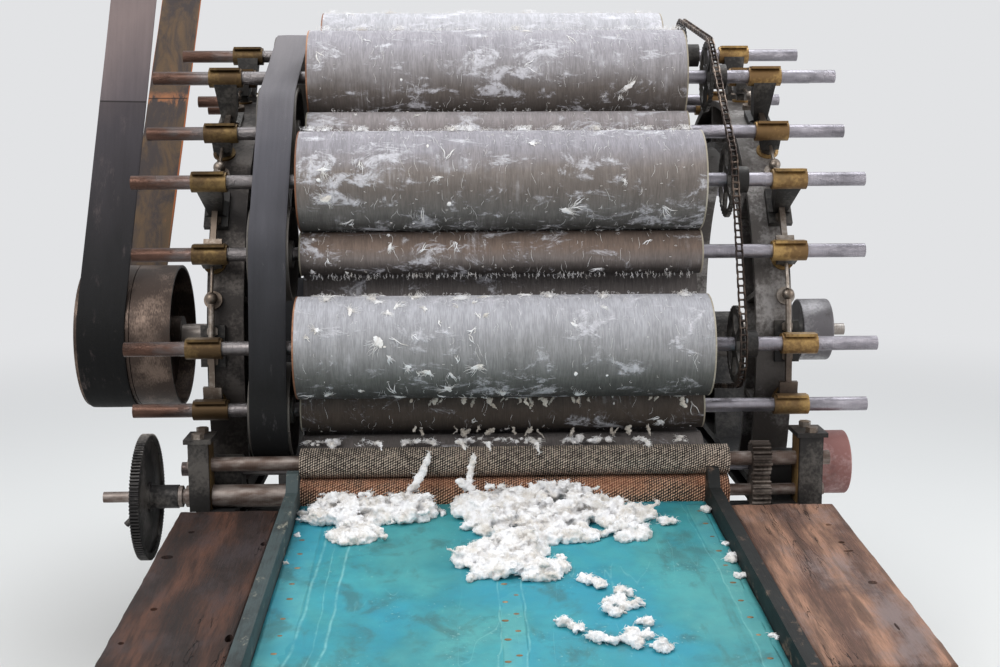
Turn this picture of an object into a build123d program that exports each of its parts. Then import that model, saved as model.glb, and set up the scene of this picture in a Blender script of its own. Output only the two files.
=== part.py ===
from build123d import *
import os
from math import acos, asin, atan2, cos, degrees, hypot, pi, radians, sin, sqrt, tan

os.makedirs("parts", exist_ok=True)

# Roller card seen from its feed end: X runs along the rollers, Y from the feed table to the
# delivery end, Z up. The origin is on the floor, below the middle of the swift's axis.

# Swift, the big clothed cylinder
axis_height = 820.0
working_width = 914.0
half_width = working_width / 2
swift_radius = 642.5
swift_shell = 14.0
swift_head = 16.0
swift_hub_radius = 95.0
swift_hub_length = 130.0
swift_shaft_radius = 35.0
swift_journal_radius = 30.0
swift_stub_radius = 17.0
swift_end_radius = 16.0
swift_end_length = 46.0
swift_left_overhang = 30.0

# Workers and strippers stand in pairs around the swift, by angle from the delivery side
roller_gap = 1.0
worker_radius = 114.0
stripper_radius = 50.0
worker_angles = (173.9, 144.3, 115.5, 84.4, 54.4)
stripper_lead = 12.0
roller_shell = 10.0
roller_head = 12.0
roller_shaft_radius = 16.0
roller_shaft_reach = half_width + 383.0
running_clearance = 0.05
keyed_clearance = 0.02
seat_clearance = 0.3

# Brass bearing sleeves on the two bends
sleeve_radius = 23.0
sleeve_length = 80.0
sleeve_centre = half_width + 207.0
sleeve_lip_width = 72.0
sleeve_lip_depth = 30.0
sleeve_lip_thickness = 6.0
sleeve_lip_lift = 4.0

# Bends, the two arched castings that carry the rollers
stud_rise = 63.5
bend_depth = 125.0
bend_rim = 16.0
bend_web = 14.0
bend_width = 84.0
bend_centre = half_width + 181.0
bend_foot_length = 240.0
bend_foot_bolt = 104.0
bend_foot_height = 18.0
bend_ribs = 9

# Brackets, studs and adjusting rods on the rim of each bend
arm_foot_length = 96.0
arm_foot_height = 14.0
arm_root = 40.0
arm_tip = 44.0
arm_root_width = 34.0
arm_tip_width = 56.0
arm_bolt = 34.0
stud_radius = 10.0
stud_nut_flats = 34.0
stud_nut_height = 14.0
stud_washer_radius = 27.0
stud_washer_height = 5.0
saddle_length = 40.0
saddle_width = 44.0
ball_radius = 14.5
ball_lift = 34.0
ball_boss_radius = 21.0
ball_boss_height = 12.0
ball_neck_radius = 8.0
ball_lag = 9.5
thin_rod_radius = 4.0
thick_rod_radius = 7.0
square_rod = 13.0
fork_width = 42.0
fork_height = 26.0

# Drive on the right: one chain turns the workers and the doffer
chain_plane = half_width + 64.0
chain_pitch = 15.875
chain_inner_gap = 10.0
chain_plate = 2.0
chain_plate_height = 12.0
chain_bush = 5.0
worker_teeth = 37
doffer_teeth = 64
sprocket_thickness = 8.0
sprocket_tooth = 4.0
sprocket_slack = 0.5
sprocket_rim = 12.0
sprocket_arms = 5
sprocket_arm = 15.0
sprocket_hub_radius = 30.5
sprocket_hub_length = 42.0

# Drive on the left: one flat belt turns the strippers
belt_plane = -half_width - 64.0
belt_width = 84.0
belt_thickness = 5.0
stripper_pulley_radius = 108.0
stripper_pulley_width = 92.0
stripper_pulley_rim = 8.0
pulley_web = 12.0
drive_pulley_radius = 150.0
idler_radius = 60.0
idler_y = 330.0
idler_drop = 250.0
idler_stud_radius = 18.0

# Main drive pulleys at the far left and the belt pulley at the far right
main_pulley_radius = 191.5
main_pulley_rim = 7.0
fast_pulley_edges = (-half_width - 647.0, -half_width - 505.0)
loose_pulley_edges = (-half_width - 503.0, -half_width - 397.0)
main_hub_radius = 52.0
main_belt_width = 126.0
main_belt_thickness = 6.0
main_belt_rise = 1010.0
main_belt_near_lean = (0.056, 0.40)
main_belt_far_lean = (0.045, 0.64)
right_pulley_radius = 85.0
right_pulley_edges = (half_width + 385.0, half_width + 471.0)

# Licker-in, between the feed rollers and the swift
licker_radius = 75.0
licker_drop = 208.51
licker_pulley_radius = 73.0
licker_pulley_edges = (half_width + 258.0, half_width + 336.0)
licker_left_reach = half_width + 278.0
licker_right_reach = half_width + 343.0

# Fancy and doffer, on the delivery side
fancy_radius = 130.0
fancy_angle = 27.0
fancy_reach = half_width + 323.0
doffer_radius = 250.0
doffer_angle = -10.0
doffer_shaft_radius = 25.0
doffer_reach = half_width + 273.0

# Doffer comb
comb_gap = 9.0
comb_shaft_radius = 14.0
comb_shaft_offset = 52.0
comb_shaft_rise = 85.0
comb_arms = 5
comb_arm_thickness = 12.0
comb_blade_height = 46.0
comb_blade_thickness = 3.0
comb_reach = half_width + 258.0

# Feed rollers
feed_ahead = 107.42
upper_feed_drop = 172.0
lower_feed_drop = 244.0
upper_feed_radius = 33.0
lower_feed_radius = 37.5
feed_left_end = 4.0 - half_width
feed_right_end = half_width + 43.0
upper_feed_shaft_radius = 16.0
lower_feed_shaft_radius = 13.5
lower_feed_thick_radius = 25.0
upper_feed_reach = (-half_width - 243.0, half_width + 271.0)
lower_feed_reach = (-half_width - 432.0, half_width + 260.0)
pinion_teeth = 18
pinion_module = 4.0
pinion_edges = (half_width + 95.0, half_width + 136.0)
pinion_backlash = 0.5
wheel_teeth = 110
wheel_module = 2.5
wheel_edges = (-half_width - 346.0, -half_width - 326.0)
wheel_hub_radius = 26.0
wheel_hub_end = -half_width - 266.0
wheel_shaft_radius = 12.0
collar_groove = 8.0
cross_hole_radius = 3.5
handle_radius = 7.0

# Feed stands and the bearing blocks in their slots
left_stand_edges = (-half_width - 237.0, -half_width - 193.0)
right_stand_edges = (half_width + 197.0, half_width + 249.0)
stand_depth = 74.0
stand_cheek = 12.0
stand_top_drop = 117.0
stand_plate = 10.0
stand_plate_overhang = 8.0

# Side frames
frame_top_drop = 270.0
rail_depth = 60.0
rail_front_ahead = 65.0
rail_back_beyond = 335.07
frame_web = 16.0
licker_foot = 92.0
doffer_foot = 170.0
front_leg_behind = 180.0
middle_leg_inside = 17.5
back_leg_beyond = 285.07
leg_top = 110.0
leg_bottom = 90.0
foot_length = 190.0
foot_height = 24.0
tie_rail_height = 110.0
tie_rail_depth = 50.0
pedestal_base = 300.0
pedestal_top = 180.0
bearing_block_height = 60.0
bearing_cap_height = 52.0
cross_rail_depth = 50.0
cross_rail_height = 64.0
cross_rail_low = 90.0
cross_rail_drop = 120.0
floor_sill_depth = 90.0
floor_sill_height = 60.0

# Feed table, sloping up towards the rollers; s runs down the table, h stands square to it
table_slope = 4.0
table_ahead = 55.0
table_drop = 258.0
table_length = 952.0
apron_edges = (7.0 - half_width, half_width - 15.0)
apron_thickness = 3.7
apron_back_radius = 22.0
apron_front_radius = 40.0
apron_back_pin = 8.0
apron_front_pin = 12.0
strip_places = (39.0 - half_width, -10.0, half_width - 44.0)
strip_widths = (60.0, 44.0, 34.0)
strip_height = 1.6
side_board_gap = 1.0
side_board_thickness = 26.0
side_board_height = 45.0
side_board_back = -14.0
side_board_overhang = 54.0
horn_height = 80.0
horn_length = 46.0
deck_thickness = 16.0
timber_thickness = 95.0
timber_back = 20.0
timber_front = 812.0
left_timber_edges = (-half_width - 250.0, -half_width - 38.0)
right_timber_edges = (half_width + 38.0, half_width + 263.0)
timber_corner = 34.0
bearer_places = (150.0, 700.0)
bearer_size = 70.0
bearer_half_length = half_width + 248.0
post_size = 90.0
post_centre = half_width + 133.0
post_tie_height = 170.0
post_tie_depth = 80.0

# Bolts
bolt_flats = 24.0
bolt_head = 12.0
arm_nut_height = 6.0

worker_circle = swift_radius + roller_gap + worker_radius
stripper_circle = swift_radius + roller_gap + stripper_radius
bend_radius = stripper_circle - stud_rise
licker_circle = swift_radius + roller_gap + licker_radius
licker_angle = 180 + degrees(asin(licker_drop / licker_circle))
doffer_circle = swift_radius + roller_gap + doffer_radius
frame_top = axis_height - frame_top_drop
side_board_front = table_length + side_board_overhang
swift_left_reach = swift_left_overhang - fast_pulley_edges[0]
swift_stub_end = right_pulley_edges[1] + 1
sides = (-1, 1)


def polar(radius, angle):
    """Y and Z of a point by radius and angle about the swift's axis."""
    return radius * cos(radians(angle)), axis_height + radius * sin(radians(angle))


licker_y, licker_z = polar(licker_circle, licker_angle)
doffer_y, doffer_z = polar(doffer_circle, doffer_angle)
feed_y = licker_y - feed_ahead
rail_front = feed_y - rail_front_ahead
rail_back = doffer_y + rail_back_beyond
leg_centres = (feed_y + front_leg_behind, swift_radius - middle_leg_inside,
               doffer_y + back_leg_beyond)
table_back = feed_y - table_ahead


def on_table(s, h):
    """Y and Z of a point s down the feed table and h above the apron."""
    slope = radians(table_slope)
    y = table_back - s * cos(slope) - h * sin(slope)
    z = axis_height - table_drop - s * sin(slope) + h * cos(slope)
    return y, z


def across(y, z, x=0.0):
    """Plane square to the rollers, with its own x along Y and its own y up."""
    return Plane(origin=(x, y, z), x_dir=(0, 1, 0), z_dir=(1, 0, 0))


def table_section(x):
    """Plane square to the rollers whose own x runs down the table and own y square to it."""
    slope = radians(table_slope)
    y, z = on_table(0, 0)
    return Plane(origin=(x, y, z), x_dir=(0, -cos(slope), -sin(slope)), z_dir=(-1, 0, 0))


def turned(y, z, radius, x_from, x_to, bore=0.0, mode=Mode.ADD):
    """Round length about a line along X, with an optional bore."""
    with BuildSketch(across(y, z, x_from)) as section:
        Circle(radius)
        if bore:
            Circle(bore, mode=Mode.SUBTRACT)
    extrude(section.sketch, amount=x_to - x_from, mode=mode)


def block(x_edges, y_edges, z_edges, mode=Mode.ADD):
    """Rectangular block between two X, two Y and two Z values."""
    spans = [(min(pair), max(pair)) for pair in (x_edges, y_edges, z_edges)]
    centre = tuple((low + high) / 2 for low, high in spans)
    with Locations(centre):
        Box(*[high - low for low, high in spans], mode=mode)


def rod(start, end, radius):
    """Straight round rod between two points."""
    run = Vector(*end) - Vector(*start)
    with BuildSketch(Plane(origin=start, z_dir=run)) as section:
        Circle(radius)
    extrude(section.sketch, amount=run.length)


def roll(y, z, radius, reach, shaft=roller_shaft_radius, wall=roller_shell):
    """Clothed roller: shell, two closed heads and the shaft through them."""
    turned(y, z, radius, -half_width, half_width, bore=radius - wall)
    for side in sides:
        turned(y, z, radius - wall / 2, side * half_width, side * (half_width - roller_head),
               bore=shaft + keyed_clearance)
    turned(y, z, shaft, -reach, reach)


def pulley(y, z, radius, centre, width, rim, bore, hub):
    """Flat-faced pulley: rim, web and hub."""
    turned(y, z, radius, centre - width / 2, centre + width / 2, bore=radius - rim)
    turned(y, z, radius - rim / 2, centre - pulley_web / 2, centre + pulley_web / 2, bore=bore)
    turned(y, z, hub, centre - width / 2, centre + width / 2, bore=bore)


def pitch_radius(teeth):
    """Pitch radius of a chain wheel."""
    return chain_pitch / (2 * sin(pi / teeth))


def sprocket(y, z, teeth, bore, hub_radius):
    """Spoked chain wheel whose short teeth stay inside the bushes of the chain."""
    inside = pitch_radius(teeth) * cos(pi / teeth) - chain_plate_height / 2
    tip = inside - sprocket_slack
    root = tip - sprocket_tooth
    half_step = pi / teeth
    with BuildSketch(across(y, z, chain_plane)) as wheel:
        Circle(root)
        Circle(root - sprocket_rim, mode=Mode.SUBTRACT)
        Circle(hub_radius)
        with PolarLocations((root - sprocket_rim + hub_radius) / 2, sprocket_arms):
            Rectangle(root - sprocket_rim - hub_radius + 6, sprocket_arm)
        with PolarLocations(root - 1, teeth):
            Trapezoid(2 * root * half_step * 0.6, sprocket_tooth + 1, 74, rotation=-90,
                      align=(Align.CENTER, Align.MIN))
        Circle(bore, mode=Mode.SUBTRACT)
    extrude(wheel.sketch, amount=sprocket_thickness / 2, both=True)
    hub_start = chain_plane + sprocket_thickness / 2
    turned(y, z, hub_radius, hub_start, hub_start + sprocket_hub_length, bore=bore)


def gear_outline(teeth, module, backlash, turn):
    """Points of an involute gear outline, turned by some degrees."""
    pitch = teeth * module / 2
    base = pitch * cos(radians(20))
    tip = pitch + 0.9 * module
    root = pitch - 1.15 * module
    half_tooth = (pi * module / 2 - backlash) / (2 * pitch)
    roll_at_pitch = tan(radians(20)) - radians(20)
    flank = []
    for step in range(4):
        radius = max(base, root) + (tip - max(base, root)) * step / 3
        pressure = acos(min(1.0, base / radius))
        flank.append((radius, half_tooth + roll_at_pitch - (tan(pressure) - pressure)))
    outline = []
    for tooth in range(teeth):
        middle = radians(turn) + 2 * pi * tooth / teeth
        side_points = list(flank)
        if root < base:
            side_points.insert(0, (root, flank[0][1]))
        outline += [(r * cos(middle - a), r * sin(middle - a)) for r, a in side_points]
        outline += [(r * cos(middle + a), r * sin(middle + a)) for r, a in reversed(side_points)]
    return outline


def write(part, name):
    """Label a finished piece and write it."""
    part.label = name
    export_step(part, f"parts/{name}.step")


def tangent_path(circles):
    """Lines and arcs of a closed band around circles (y, z, radius, side), run clockwise as
    seen from the right; side is 1 where the circle lies inside the band and -1 outside."""
    count = len(circles)
    touches = []
    for place in range(count):
        y0, z0, r0, side0 = circles[place]
        y1, z1, r1, side1 = circles[(place + 1) % count]
        run = hypot(y1 - y0, z1 - z0)
        heading = atan2(z1 - z0, y1 - y0)
        swing = acos((r0 * side0 - r1 * side1) / run)
        leave = heading + swing
        touches.append((leave, (y0 + side0 * r0 * cos(leave), z0 + side0 * r0 * sin(leave)),
                        (y1 + side1 * r1 * cos(leave), z1 + side1 * r1 * sin(leave))))
    return touches


def band(circles, grow):
    """Face enclosed by a band, its radii grown by some amount on the outer side."""
    grown = [(y, z, radius + side * grow, side) for y, z, radius, side in circles]
    touches = tangent_path(grown)
    with BuildSketch(across(0, 0)) as inside:
        with BuildLine():
            for place, (leave, start, end) in enumerate(touches):
                y, z, radius, side = grown[(place + 1) % len(grown)]
                next_leave, next_start, _ = touches[(place + 1) % len(touches)]
                Line(start, end)
                turn = (leave - next_leave) * side % (2 * pi)
                middle = leave - side * turn / 2
                bulge = (y + side * radius * cos(middle), z + side * radius * sin(middle))
                ThreePointArc(end, bulge, next_start)
        make_face()
    return inside.sketch


def band_points(circles, count):
    """Points evenly spaced along the middle of a band, each with its heading."""
    touches = tangent_path(circles)
    pieces = []
    for place, (leave, start, end) in enumerate(touches):
        y, z, radius, side = circles[(place + 1) % len(circles)]
        next_leave = touches[(place + 1) % len(touches)][0]
        turn = (leave - next_leave) * side % (2 * pi)
        pieces.append(("line", start, end, hypot(end[0] - start[0], end[1] - start[1])))
        pieces.append(("arc", (y, z, radius, side), leave, radius * turn))
    total = sum(piece[3] for piece in pieces)
    if count == 0:
        return total
    points = []
    for number in range(count):
        rest = total * number / count
        for kind, first, second, length in pieces:
            if rest <= length:
                break
            rest -= length
        if kind == "line":
            share = rest / length
            points.append((first[0] + (second[0] - first[0]) * share,
                           first[1] + (second[1] - first[1]) * share))
        else:
            y, z, radius, side = first
            angle = second - side * rest / radius
            points.append((y + side * radius * cos(angle), z + side * radius * sin(angle)))
    return points


# Swift: closed drum on its shaft
with BuildPart() as swift_drum:
    turned(0, axis_height, swift_radius, -half_width, half_width,
           bore=swift_radius - swift_shell)
    for side in sides:
        turned(0, axis_height, swift_radius - swift_shell / 2, side * half_width,
               side * (half_width - swift_head), bore=swift_shaft_radius + keyed_clearance)
        turned(0, axis_height, swift_hub_radius, side * (half_width + 10),
               side * (half_width - swift_hub_length), bore=swift_shaft_radius + keyed_clearance)
write(swift_drum.part, "swift_drum")

journal_from = bend_centre - bend_width / 2 - 12
with BuildPart() as swift_shaft:
    turned(0, axis_height, swift_shaft_radius, -journal_from, journal_from)
    turned(0, axis_height, swift_journal_radius, -swift_left_reach, right_pulley_edges[0] - 40)
    turned(0, axis_height, swift_stub_radius, right_pulley_edges[0] - 41, swift_stub_end)
    turned(0, axis_height, swift_end_radius, swift_stub_end, swift_stub_end + swift_end_length)
write(swift_shaft.part, "swift_shaft")

# Fast and loose pulleys on the left, and the pulley on the right end
fast_centre = sum(fast_pulley_edges) / 2
with BuildPart() as fast_pulley:
    pulley(0, axis_height, main_pulley_radius, fast_centre,
           fast_pulley_edges[1] - fast_pulley_edges[0], main_pulley_rim,
           swift_journal_radius + keyed_clearance, main_hub_radius)
write(fast_pulley.part, "fast_pulley")

loose_centre = sum(loose_pulley_edges) / 2
with BuildPart() as loose_pulley:
    pulley(0, axis_height, main_pulley_radius, loose_centre,
           loose_pulley_edges[1] - loose_pulley_edges[0], main_pulley_rim,
           swift_journal_radius + running_clearance, main_hub_radius)
write(loose_pulley.part, "loose_pulley")

with BuildPart() as right_pulley:
    turned(0, axis_height, right_pulley_radius, *right_pulley_edges,
           bore=swift_stub_radius + keyed_clearance)
    rims = right_pulley.edges().filter_by(GeomType.CIRCLE).group_by(SortBy.RADIUS)[-1]
    fillet(rims, 5)
write(right_pulley.part, "right_pulley")

with BuildPart() as stripper_drive_pulley:
    pulley(0, axis_height, drive_pulley_radius, belt_plane, stripper_pulley_width,
           stripper_pulley_rim, swift_shaft_radius + keyed_clearance, swift_hub_radius - 30)
write(stripper_drive_pulley.part, "stripper_drive_pulley")

# Workers with their chain wheels
for number, angle in enumerate(worker_angles, 1):
    y, z = polar(worker_circle, angle)
    with BuildPart() as worker:
        roll(y, z, worker_radius, roller_shaft_reach)
    write(worker.part, f"worker_{number}")
    with BuildPart() as worker_sprocket:
        sprocket(y, z, worker_teeth, roller_shaft_radius + keyed_clearance,
                 sprocket_hub_radius)
    write(worker_sprocket.part, f"worker_{number}_sprocket")

# Strippers, each with its pulley as a separate solid
stripper_angles = [angle + stripper_lead for angle in worker_angles]
for number, angle in enumerate(stripper_angles, 1):
    y, z = polar(stripper_circle, angle)
    with BuildPart() as stripper:
        roll(y, z, stripper_radius, roller_shaft_reach)
        pulley(y, z, stripper_pulley_radius, belt_plane, stripper_pulley_width,
               stripper_pulley_rim, roller_shaft_radius + keyed_clearance,
               roller_shaft_radius + 16)
    write(stripper.part, f"stripper_{number}")

# Licker-in and its belt pulley
with BuildPart() as licker_in:
    roll(licker_y, licker_z, licker_radius, licker_left_reach)
    turned(licker_y, licker_z, roller_shaft_radius, 0, licker_right_reach)
write(licker_in.part, "licker_in")
with BuildPart() as licker_pulley:
    turned(licker_y, licker_z, licker_pulley_radius, *licker_pulley_edges,
           bore=roller_shaft_radius + keyed_clearance)
    rims = licker_pulley.edges().filter_by(GeomType.CIRCLE).group_by(SortBy.RADIUS)[-1]
    fillet(rims, 4)
write(licker_pulley.part, "licker_pulley")

# Fancy
fancy_circle = swift_radius + roller_gap + fancy_radius
fancy_y, fancy_z = polar(fancy_circle, fancy_angle)
with BuildPart() as fancy:
    roll(fancy_y, fancy_z, fancy_radius, fancy_reach)
write(fancy.part, "fancy")

# Doffer with its chain wheel
with BuildPart() as doffer:
    roll(doffer_y, doffer_z, doffer_radius, doffer_reach, shaft=doffer_shaft_radius, wall=12)
    sprocket(doffer_y, doffer_z, doffer_teeth, doffer_shaft_radius + keyed_clearance,
             doffer_shaft_radius + 22)
write(doffer.part, "doffer")

# Doffer comb: a toothed blade on arms from a rocking shaft
comb_shaft_y = doffer_y + doffer_radius + comb_shaft_offset
comb_shaft_z = doffer_z + comb_shaft_rise
blade_y = doffer_y + doffer_radius + comb_gap
with BuildPart() as doffer_comb:
    turned(comb_shaft_y, comb_shaft_z, comb_shaft_radius, -comb_reach, comb_reach)
    blade_bottom = doffer_z - comb_blade_height / 2
    blade_top = doffer_z + comb_blade_height / 2
    block((-half_width, half_width), (blade_y, blade_y + comb_blade_thickness),
          (blade_bottom, blade_top))
    arm_step = (working_width - 60) / (comb_arms - 1)
    for place in range(comb_arms):
        x = -half_width + 30 + place * arm_step
        with BuildSketch(across(comb_shaft_y, comb_shaft_z, x)) as arm:
            Circle(comb_shaft_radius + 8)
            with BuildLine():
                Polyline((-comb_shaft_radius - 6, 0), (comb_shaft_radius + 6, 0),
                         (blade_y + 12 - comb_shaft_y, blade_top - 26 - comb_shaft_z),
                         (blade_y + 2 - comb_shaft_y, blade_top - 26 - comb_shaft_z), close=True)
            make_face()
            Circle(comb_shaft_radius - 1, mode=Mode.SUBTRACT)
        extrude(arm.sketch, amount=comb_arm_thickness / 2, both=True)
write(doffer_comb.part, "doffer_comb")

# Feed rollers: the lower one carries the big toothed wheel, and pinions join the two
upper_z = axis_height - upper_feed_drop
lower_z = axis_height - lower_feed_drop
with BuildPart() as feed_roller_upper:
    turned(feed_y, upper_z, upper_feed_radius, feed_left_end, feed_right_end)
    turned(feed_y, upper_z, upper_feed_shaft_radius, *upper_feed_reach)
write(feed_roller_upper.part, "feed_roller_upper")

with BuildPart() as feed_roller_lower:
    turned(feed_y, lower_z, lower_feed_radius, feed_left_end, feed_right_end)
    turned(feed_y, lower_z, lower_feed_shaft_radius, wheel_hub_end, lower_feed_reach[1])
    turned(feed_y, lower_z, lower_feed_thick_radius, left_stand_edges[1] + 3, feed_left_end)
    turned(feed_y, lower_z, wheel_shaft_radius, lower_feed_reach[0], left_stand_edges[0])
    with Locations(Location((lower_feed_reach[0] + 24, feed_y, lower_z))):
        Cylinder(cross_hole_radius, 4 * wheel_shaft_radius, mode=Mode.SUBTRACT)
    collar_from = wheel_hub_end + 1
    collar_to = left_stand_edges[0] - 3
    turned(feed_y, lower_z, wheel_hub_radius - 2, collar_from, collar_to)
    groove_middle = (collar_from + collar_to) / 2
    turned(feed_y, lower_z, wheel_hub_radius, groove_middle - collar_groove / 2,
           groove_middle + collar_groove / 2, bore=wheel_hub_radius - 9, mode=Mode.SUBTRACT)
write(feed_roller_lower.part, "feed_roller_lower")

for name, z, shaft, turn in (
    ("feed_pinion_upper", upper_z, upper_feed_shaft_radius, 90.0),
    ("feed_pinion_lower", lower_z, lower_feed_shaft_radius, 90.0 + 180.0 / pinion_teeth),
):
    with BuildPart() as feed_pinion:
        outline = gear_outline(pinion_teeth, pinion_module, pinion_backlash, turn)
        with BuildSketch(across(feed_y, z, pinion_edges[0])):
            with BuildLine():
                Polyline(*outline, close=True)
            make_face()
            Circle(shaft + keyed_clearance, mode=Mode.SUBTRACT)
        extrude(amount=pinion_edges[1] - pinion_edges[0])
    write(feed_pinion.part, name)

with BuildPart() as feed_wheel:
    outline = gear_outline(wheel_teeth, wheel_module, 0.0, 0.0)
    with BuildSketch(across(feed_y, lower_z, wheel_edges[0])):
        with BuildLine():
            Polyline(*outline, close=True)
        make_face()
        Circle(wheel_shaft_radius + keyed_clearance, mode=Mode.SUBTRACT)
    extrude(amount=wheel_edges[1] - wheel_edges[0])
    turned(feed_y, lower_z, wheel_teeth * wheel_module / 2 - 14, wheel_edges[1] - 5,
           wheel_edges[1], bore=wheel_hub_radius + 6, mode=Mode.SUBTRACT)
    turned(feed_y, lower_z, wheel_hub_radius, wheel_edges[1] - 6, wheel_hub_end,
           bore=wheel_shaft_radius + keyed_clearance)
    rod((wheel_edges[0] + 4, feed_y, lower_z - 22),
        (wheel_edges[0] - 38, feed_y - 6, lower_z - 62), handle_radius)
write(feed_wheel.part, "feed_wheel")

# Feed stands: slotted castings with a plate over the slot, and brass blocks in it
stand_top = axis_height - stand_top_drop
block_half_height = (lower_feed_drop - upper_feed_drop) / 2 - seat_clearance / 2
slot_half = stand_depth / 2 - stand_cheek
with BuildPart() as feed_stands:
    for edges in (left_stand_edges, right_stand_edges):
        block(edges, (feed_y - stand_depth / 2, feed_y + stand_depth / 2),
              (frame_top, stand_top))
        block(edges, (feed_y - slot_half, feed_y + slot_half),
              (frame_top, stand_top), mode=Mode.SUBTRACT)
        block((edges[0] - stand_plate_overhang, edges[1] + stand_plate_overhang),
              (feed_y - stand_depth / 2 - stand_plate_overhang,
               feed_y + stand_depth / 2 + stand_plate_overhang),
              (stand_top, stand_top + stand_plate))
write(feed_stands.part, "feed_stands")

with BuildPart() as feed_bearings:
    for edges in (left_stand_edges, right_stand_edges):
        for z, shaft in ((upper_z, upper_feed_shaft_radius), (lower_z, lower_feed_shaft_radius)):
            if z == upper_z:
                levels = (z - block_half_height, stand_top)
            else:
                levels = (frame_top, z + block_half_height)
            block((edges[0] - 2, edges[1] + 2),
                  (feed_y - slot_half + seat_clearance, feed_y + slot_half - seat_clearance),
                  levels)
            turned(feed_y, z, shaft + running_clearance, edges[0] - 3, edges[1] + 3,
                   mode=Mode.SUBTRACT)
write(feed_bearings.part, "feed_bearings")

# Brass sleeves of the workers, strippers and fancy
sleeve_places = [(worker_circle, angle) for angle in worker_angles]
sleeve_places += [(stripper_circle, angle) for angle in stripper_angles]
sleeve_places.append((fancy_circle, fancy_angle))
with BuildPart() as roller_bearings:
    for side in sides:
        for radius, angle in sleeve_places:
            y, z = polar(radius, angle)
            inner = side * (sleeve_centre - sleeve_length / 2)
            outer = side * (sleeve_centre + sleeve_length / 2)
            lip_from = z + sleeve_radius - sleeve_lip_lift
            block((side * (sleeve_centre - sleeve_lip_width / 2),
                   side * (sleeve_centre + sleeve_lip_width / 2)),
                  (y + 4 - sleeve_lip_depth, y + 4), (lip_from, lip_from + sleeve_lip_thickness))
            turned(y, z, sleeve_radius, inner, outer)
            turned(y, z, roller_shaft_radius + running_clearance, inner, outer,
                   mode=Mode.SUBTRACT)
write(roller_bearings.part, "roller_bearings")


def arm_profile(circle_radius):
    """Bracket arm in its own frame: Y is radial from the swift's axis, Z tangential."""
    seat = circle_radius - 6
    shoulder = bend_radius + arm_foot_height
    with BuildPart() as arm:
        with BuildSketch(Plane(origin=(0, 0, 0), x_dir=(0, 1, 0), z_dir=(1, 0, 0))):
            with BuildLine():
                Polyline((bend_radius, -arm_foot_length / 2), (shoulder, -arm_foot_length / 2),
                         (shoulder, -arm_root / 2), (seat, -arm_tip / 2), (seat, arm_tip / 2),
                         (shoulder, arm_root / 2), (shoulder, arm_foot_length / 2),
                         (bend_radius, arm_foot_length / 2), close=True)
            make_face()
            with Locations((circle_radius, 0)):
                Circle(sleeve_radius + keyed_clearance, mode=Mode.SUBTRACT)
        extrude(amount=arm_tip_width / 2, both=True)
        with BuildSketch(Plane.XY):
            with BuildLine():
                Polyline((-arm_tip_width / 2, bend_radius), (arm_tip_width / 2, bend_radius),
                         (arm_tip_width / 2, shoulder), (arm_root_width / 2, shoulder + 6),
                         (arm_tip_width / 2, seat), (-arm_tip_width / 2, seat),
                         (-arm_root_width / 2, shoulder + 6), (-arm_tip_width / 2, shoulder),
                         close=True)
            make_face()
        extrude(amount=arm_foot_length, both=True, mode=Mode.INTERSECT)
    return arm.part


def about_swift(side, angle, x=sleeve_centre):
    """Place on a bend: turned by the angle about the swift's axis."""
    return Location((side * x, 0, axis_height), (angle, 0, 0))


# Bracket arms of the workers and the fancy
worker_arm = arm_profile(worker_circle)
fancy_arm = arm_profile(fancy_circle)
with BuildPart() as worker_brackets:
    for side in sides:
        for angle in worker_angles:
            with Locations(about_swift(side, angle)):
                add(worker_arm)
        with Locations(about_swift(side, fancy_angle)):
            add(fancy_arm)
write(worker_brackets.part, "worker_brackets")

# Radial studs, nuts and saddles of the strippers
with BuildPart() as stripper_stud:
    washer_top = bend_radius + stud_washer_height
    nut_top = washer_top + stud_nut_height
    saddle_from = nut_top + 3
    radial = Plane(origin=(0, bend_radius, 0), z_dir=(0, 1, 0))
    with BuildSketch(radial):
        Circle(stud_radius)
    extrude(amount=stripper_circle - bend_radius)
    with BuildSketch(radial.offset(stud_washer_height)):
        RegularPolygon(stud_nut_flats / 2, 6, major_radius=False)
    extrude(amount=stud_nut_height)
    block((-saddle_width / 2, saddle_width / 2), (saddle_from, stripper_circle - 8),
          (-saddle_length / 2, saddle_length / 2))
    turned(stripper_circle, 0, sleeve_radius + keyed_clearance, -saddle_width, saddle_width,
           mode=Mode.SUBTRACT)
with BuildPart() as stud_washer:
    with BuildSketch(radial):
        Circle(stud_washer_radius)
        Circle(stud_radius + keyed_clearance, mode=Mode.SUBTRACT)
    extrude(amount=stud_washer_height)
with BuildPart() as stripper_studs:
    for side in sides:
        for angle in stripper_angles:
            with Locations(about_swift(side, angle)):
                add(stripper_stud.part)
write(stripper_studs.part, "stripper_studs")
with BuildPart() as stud_washers:
    for side in sides:
        for angle in stripper_angles:
            with Locations(about_swift(side, angle)):
                add(stud_washer.part)
write(stud_washers.part, "stud_washers")

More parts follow.
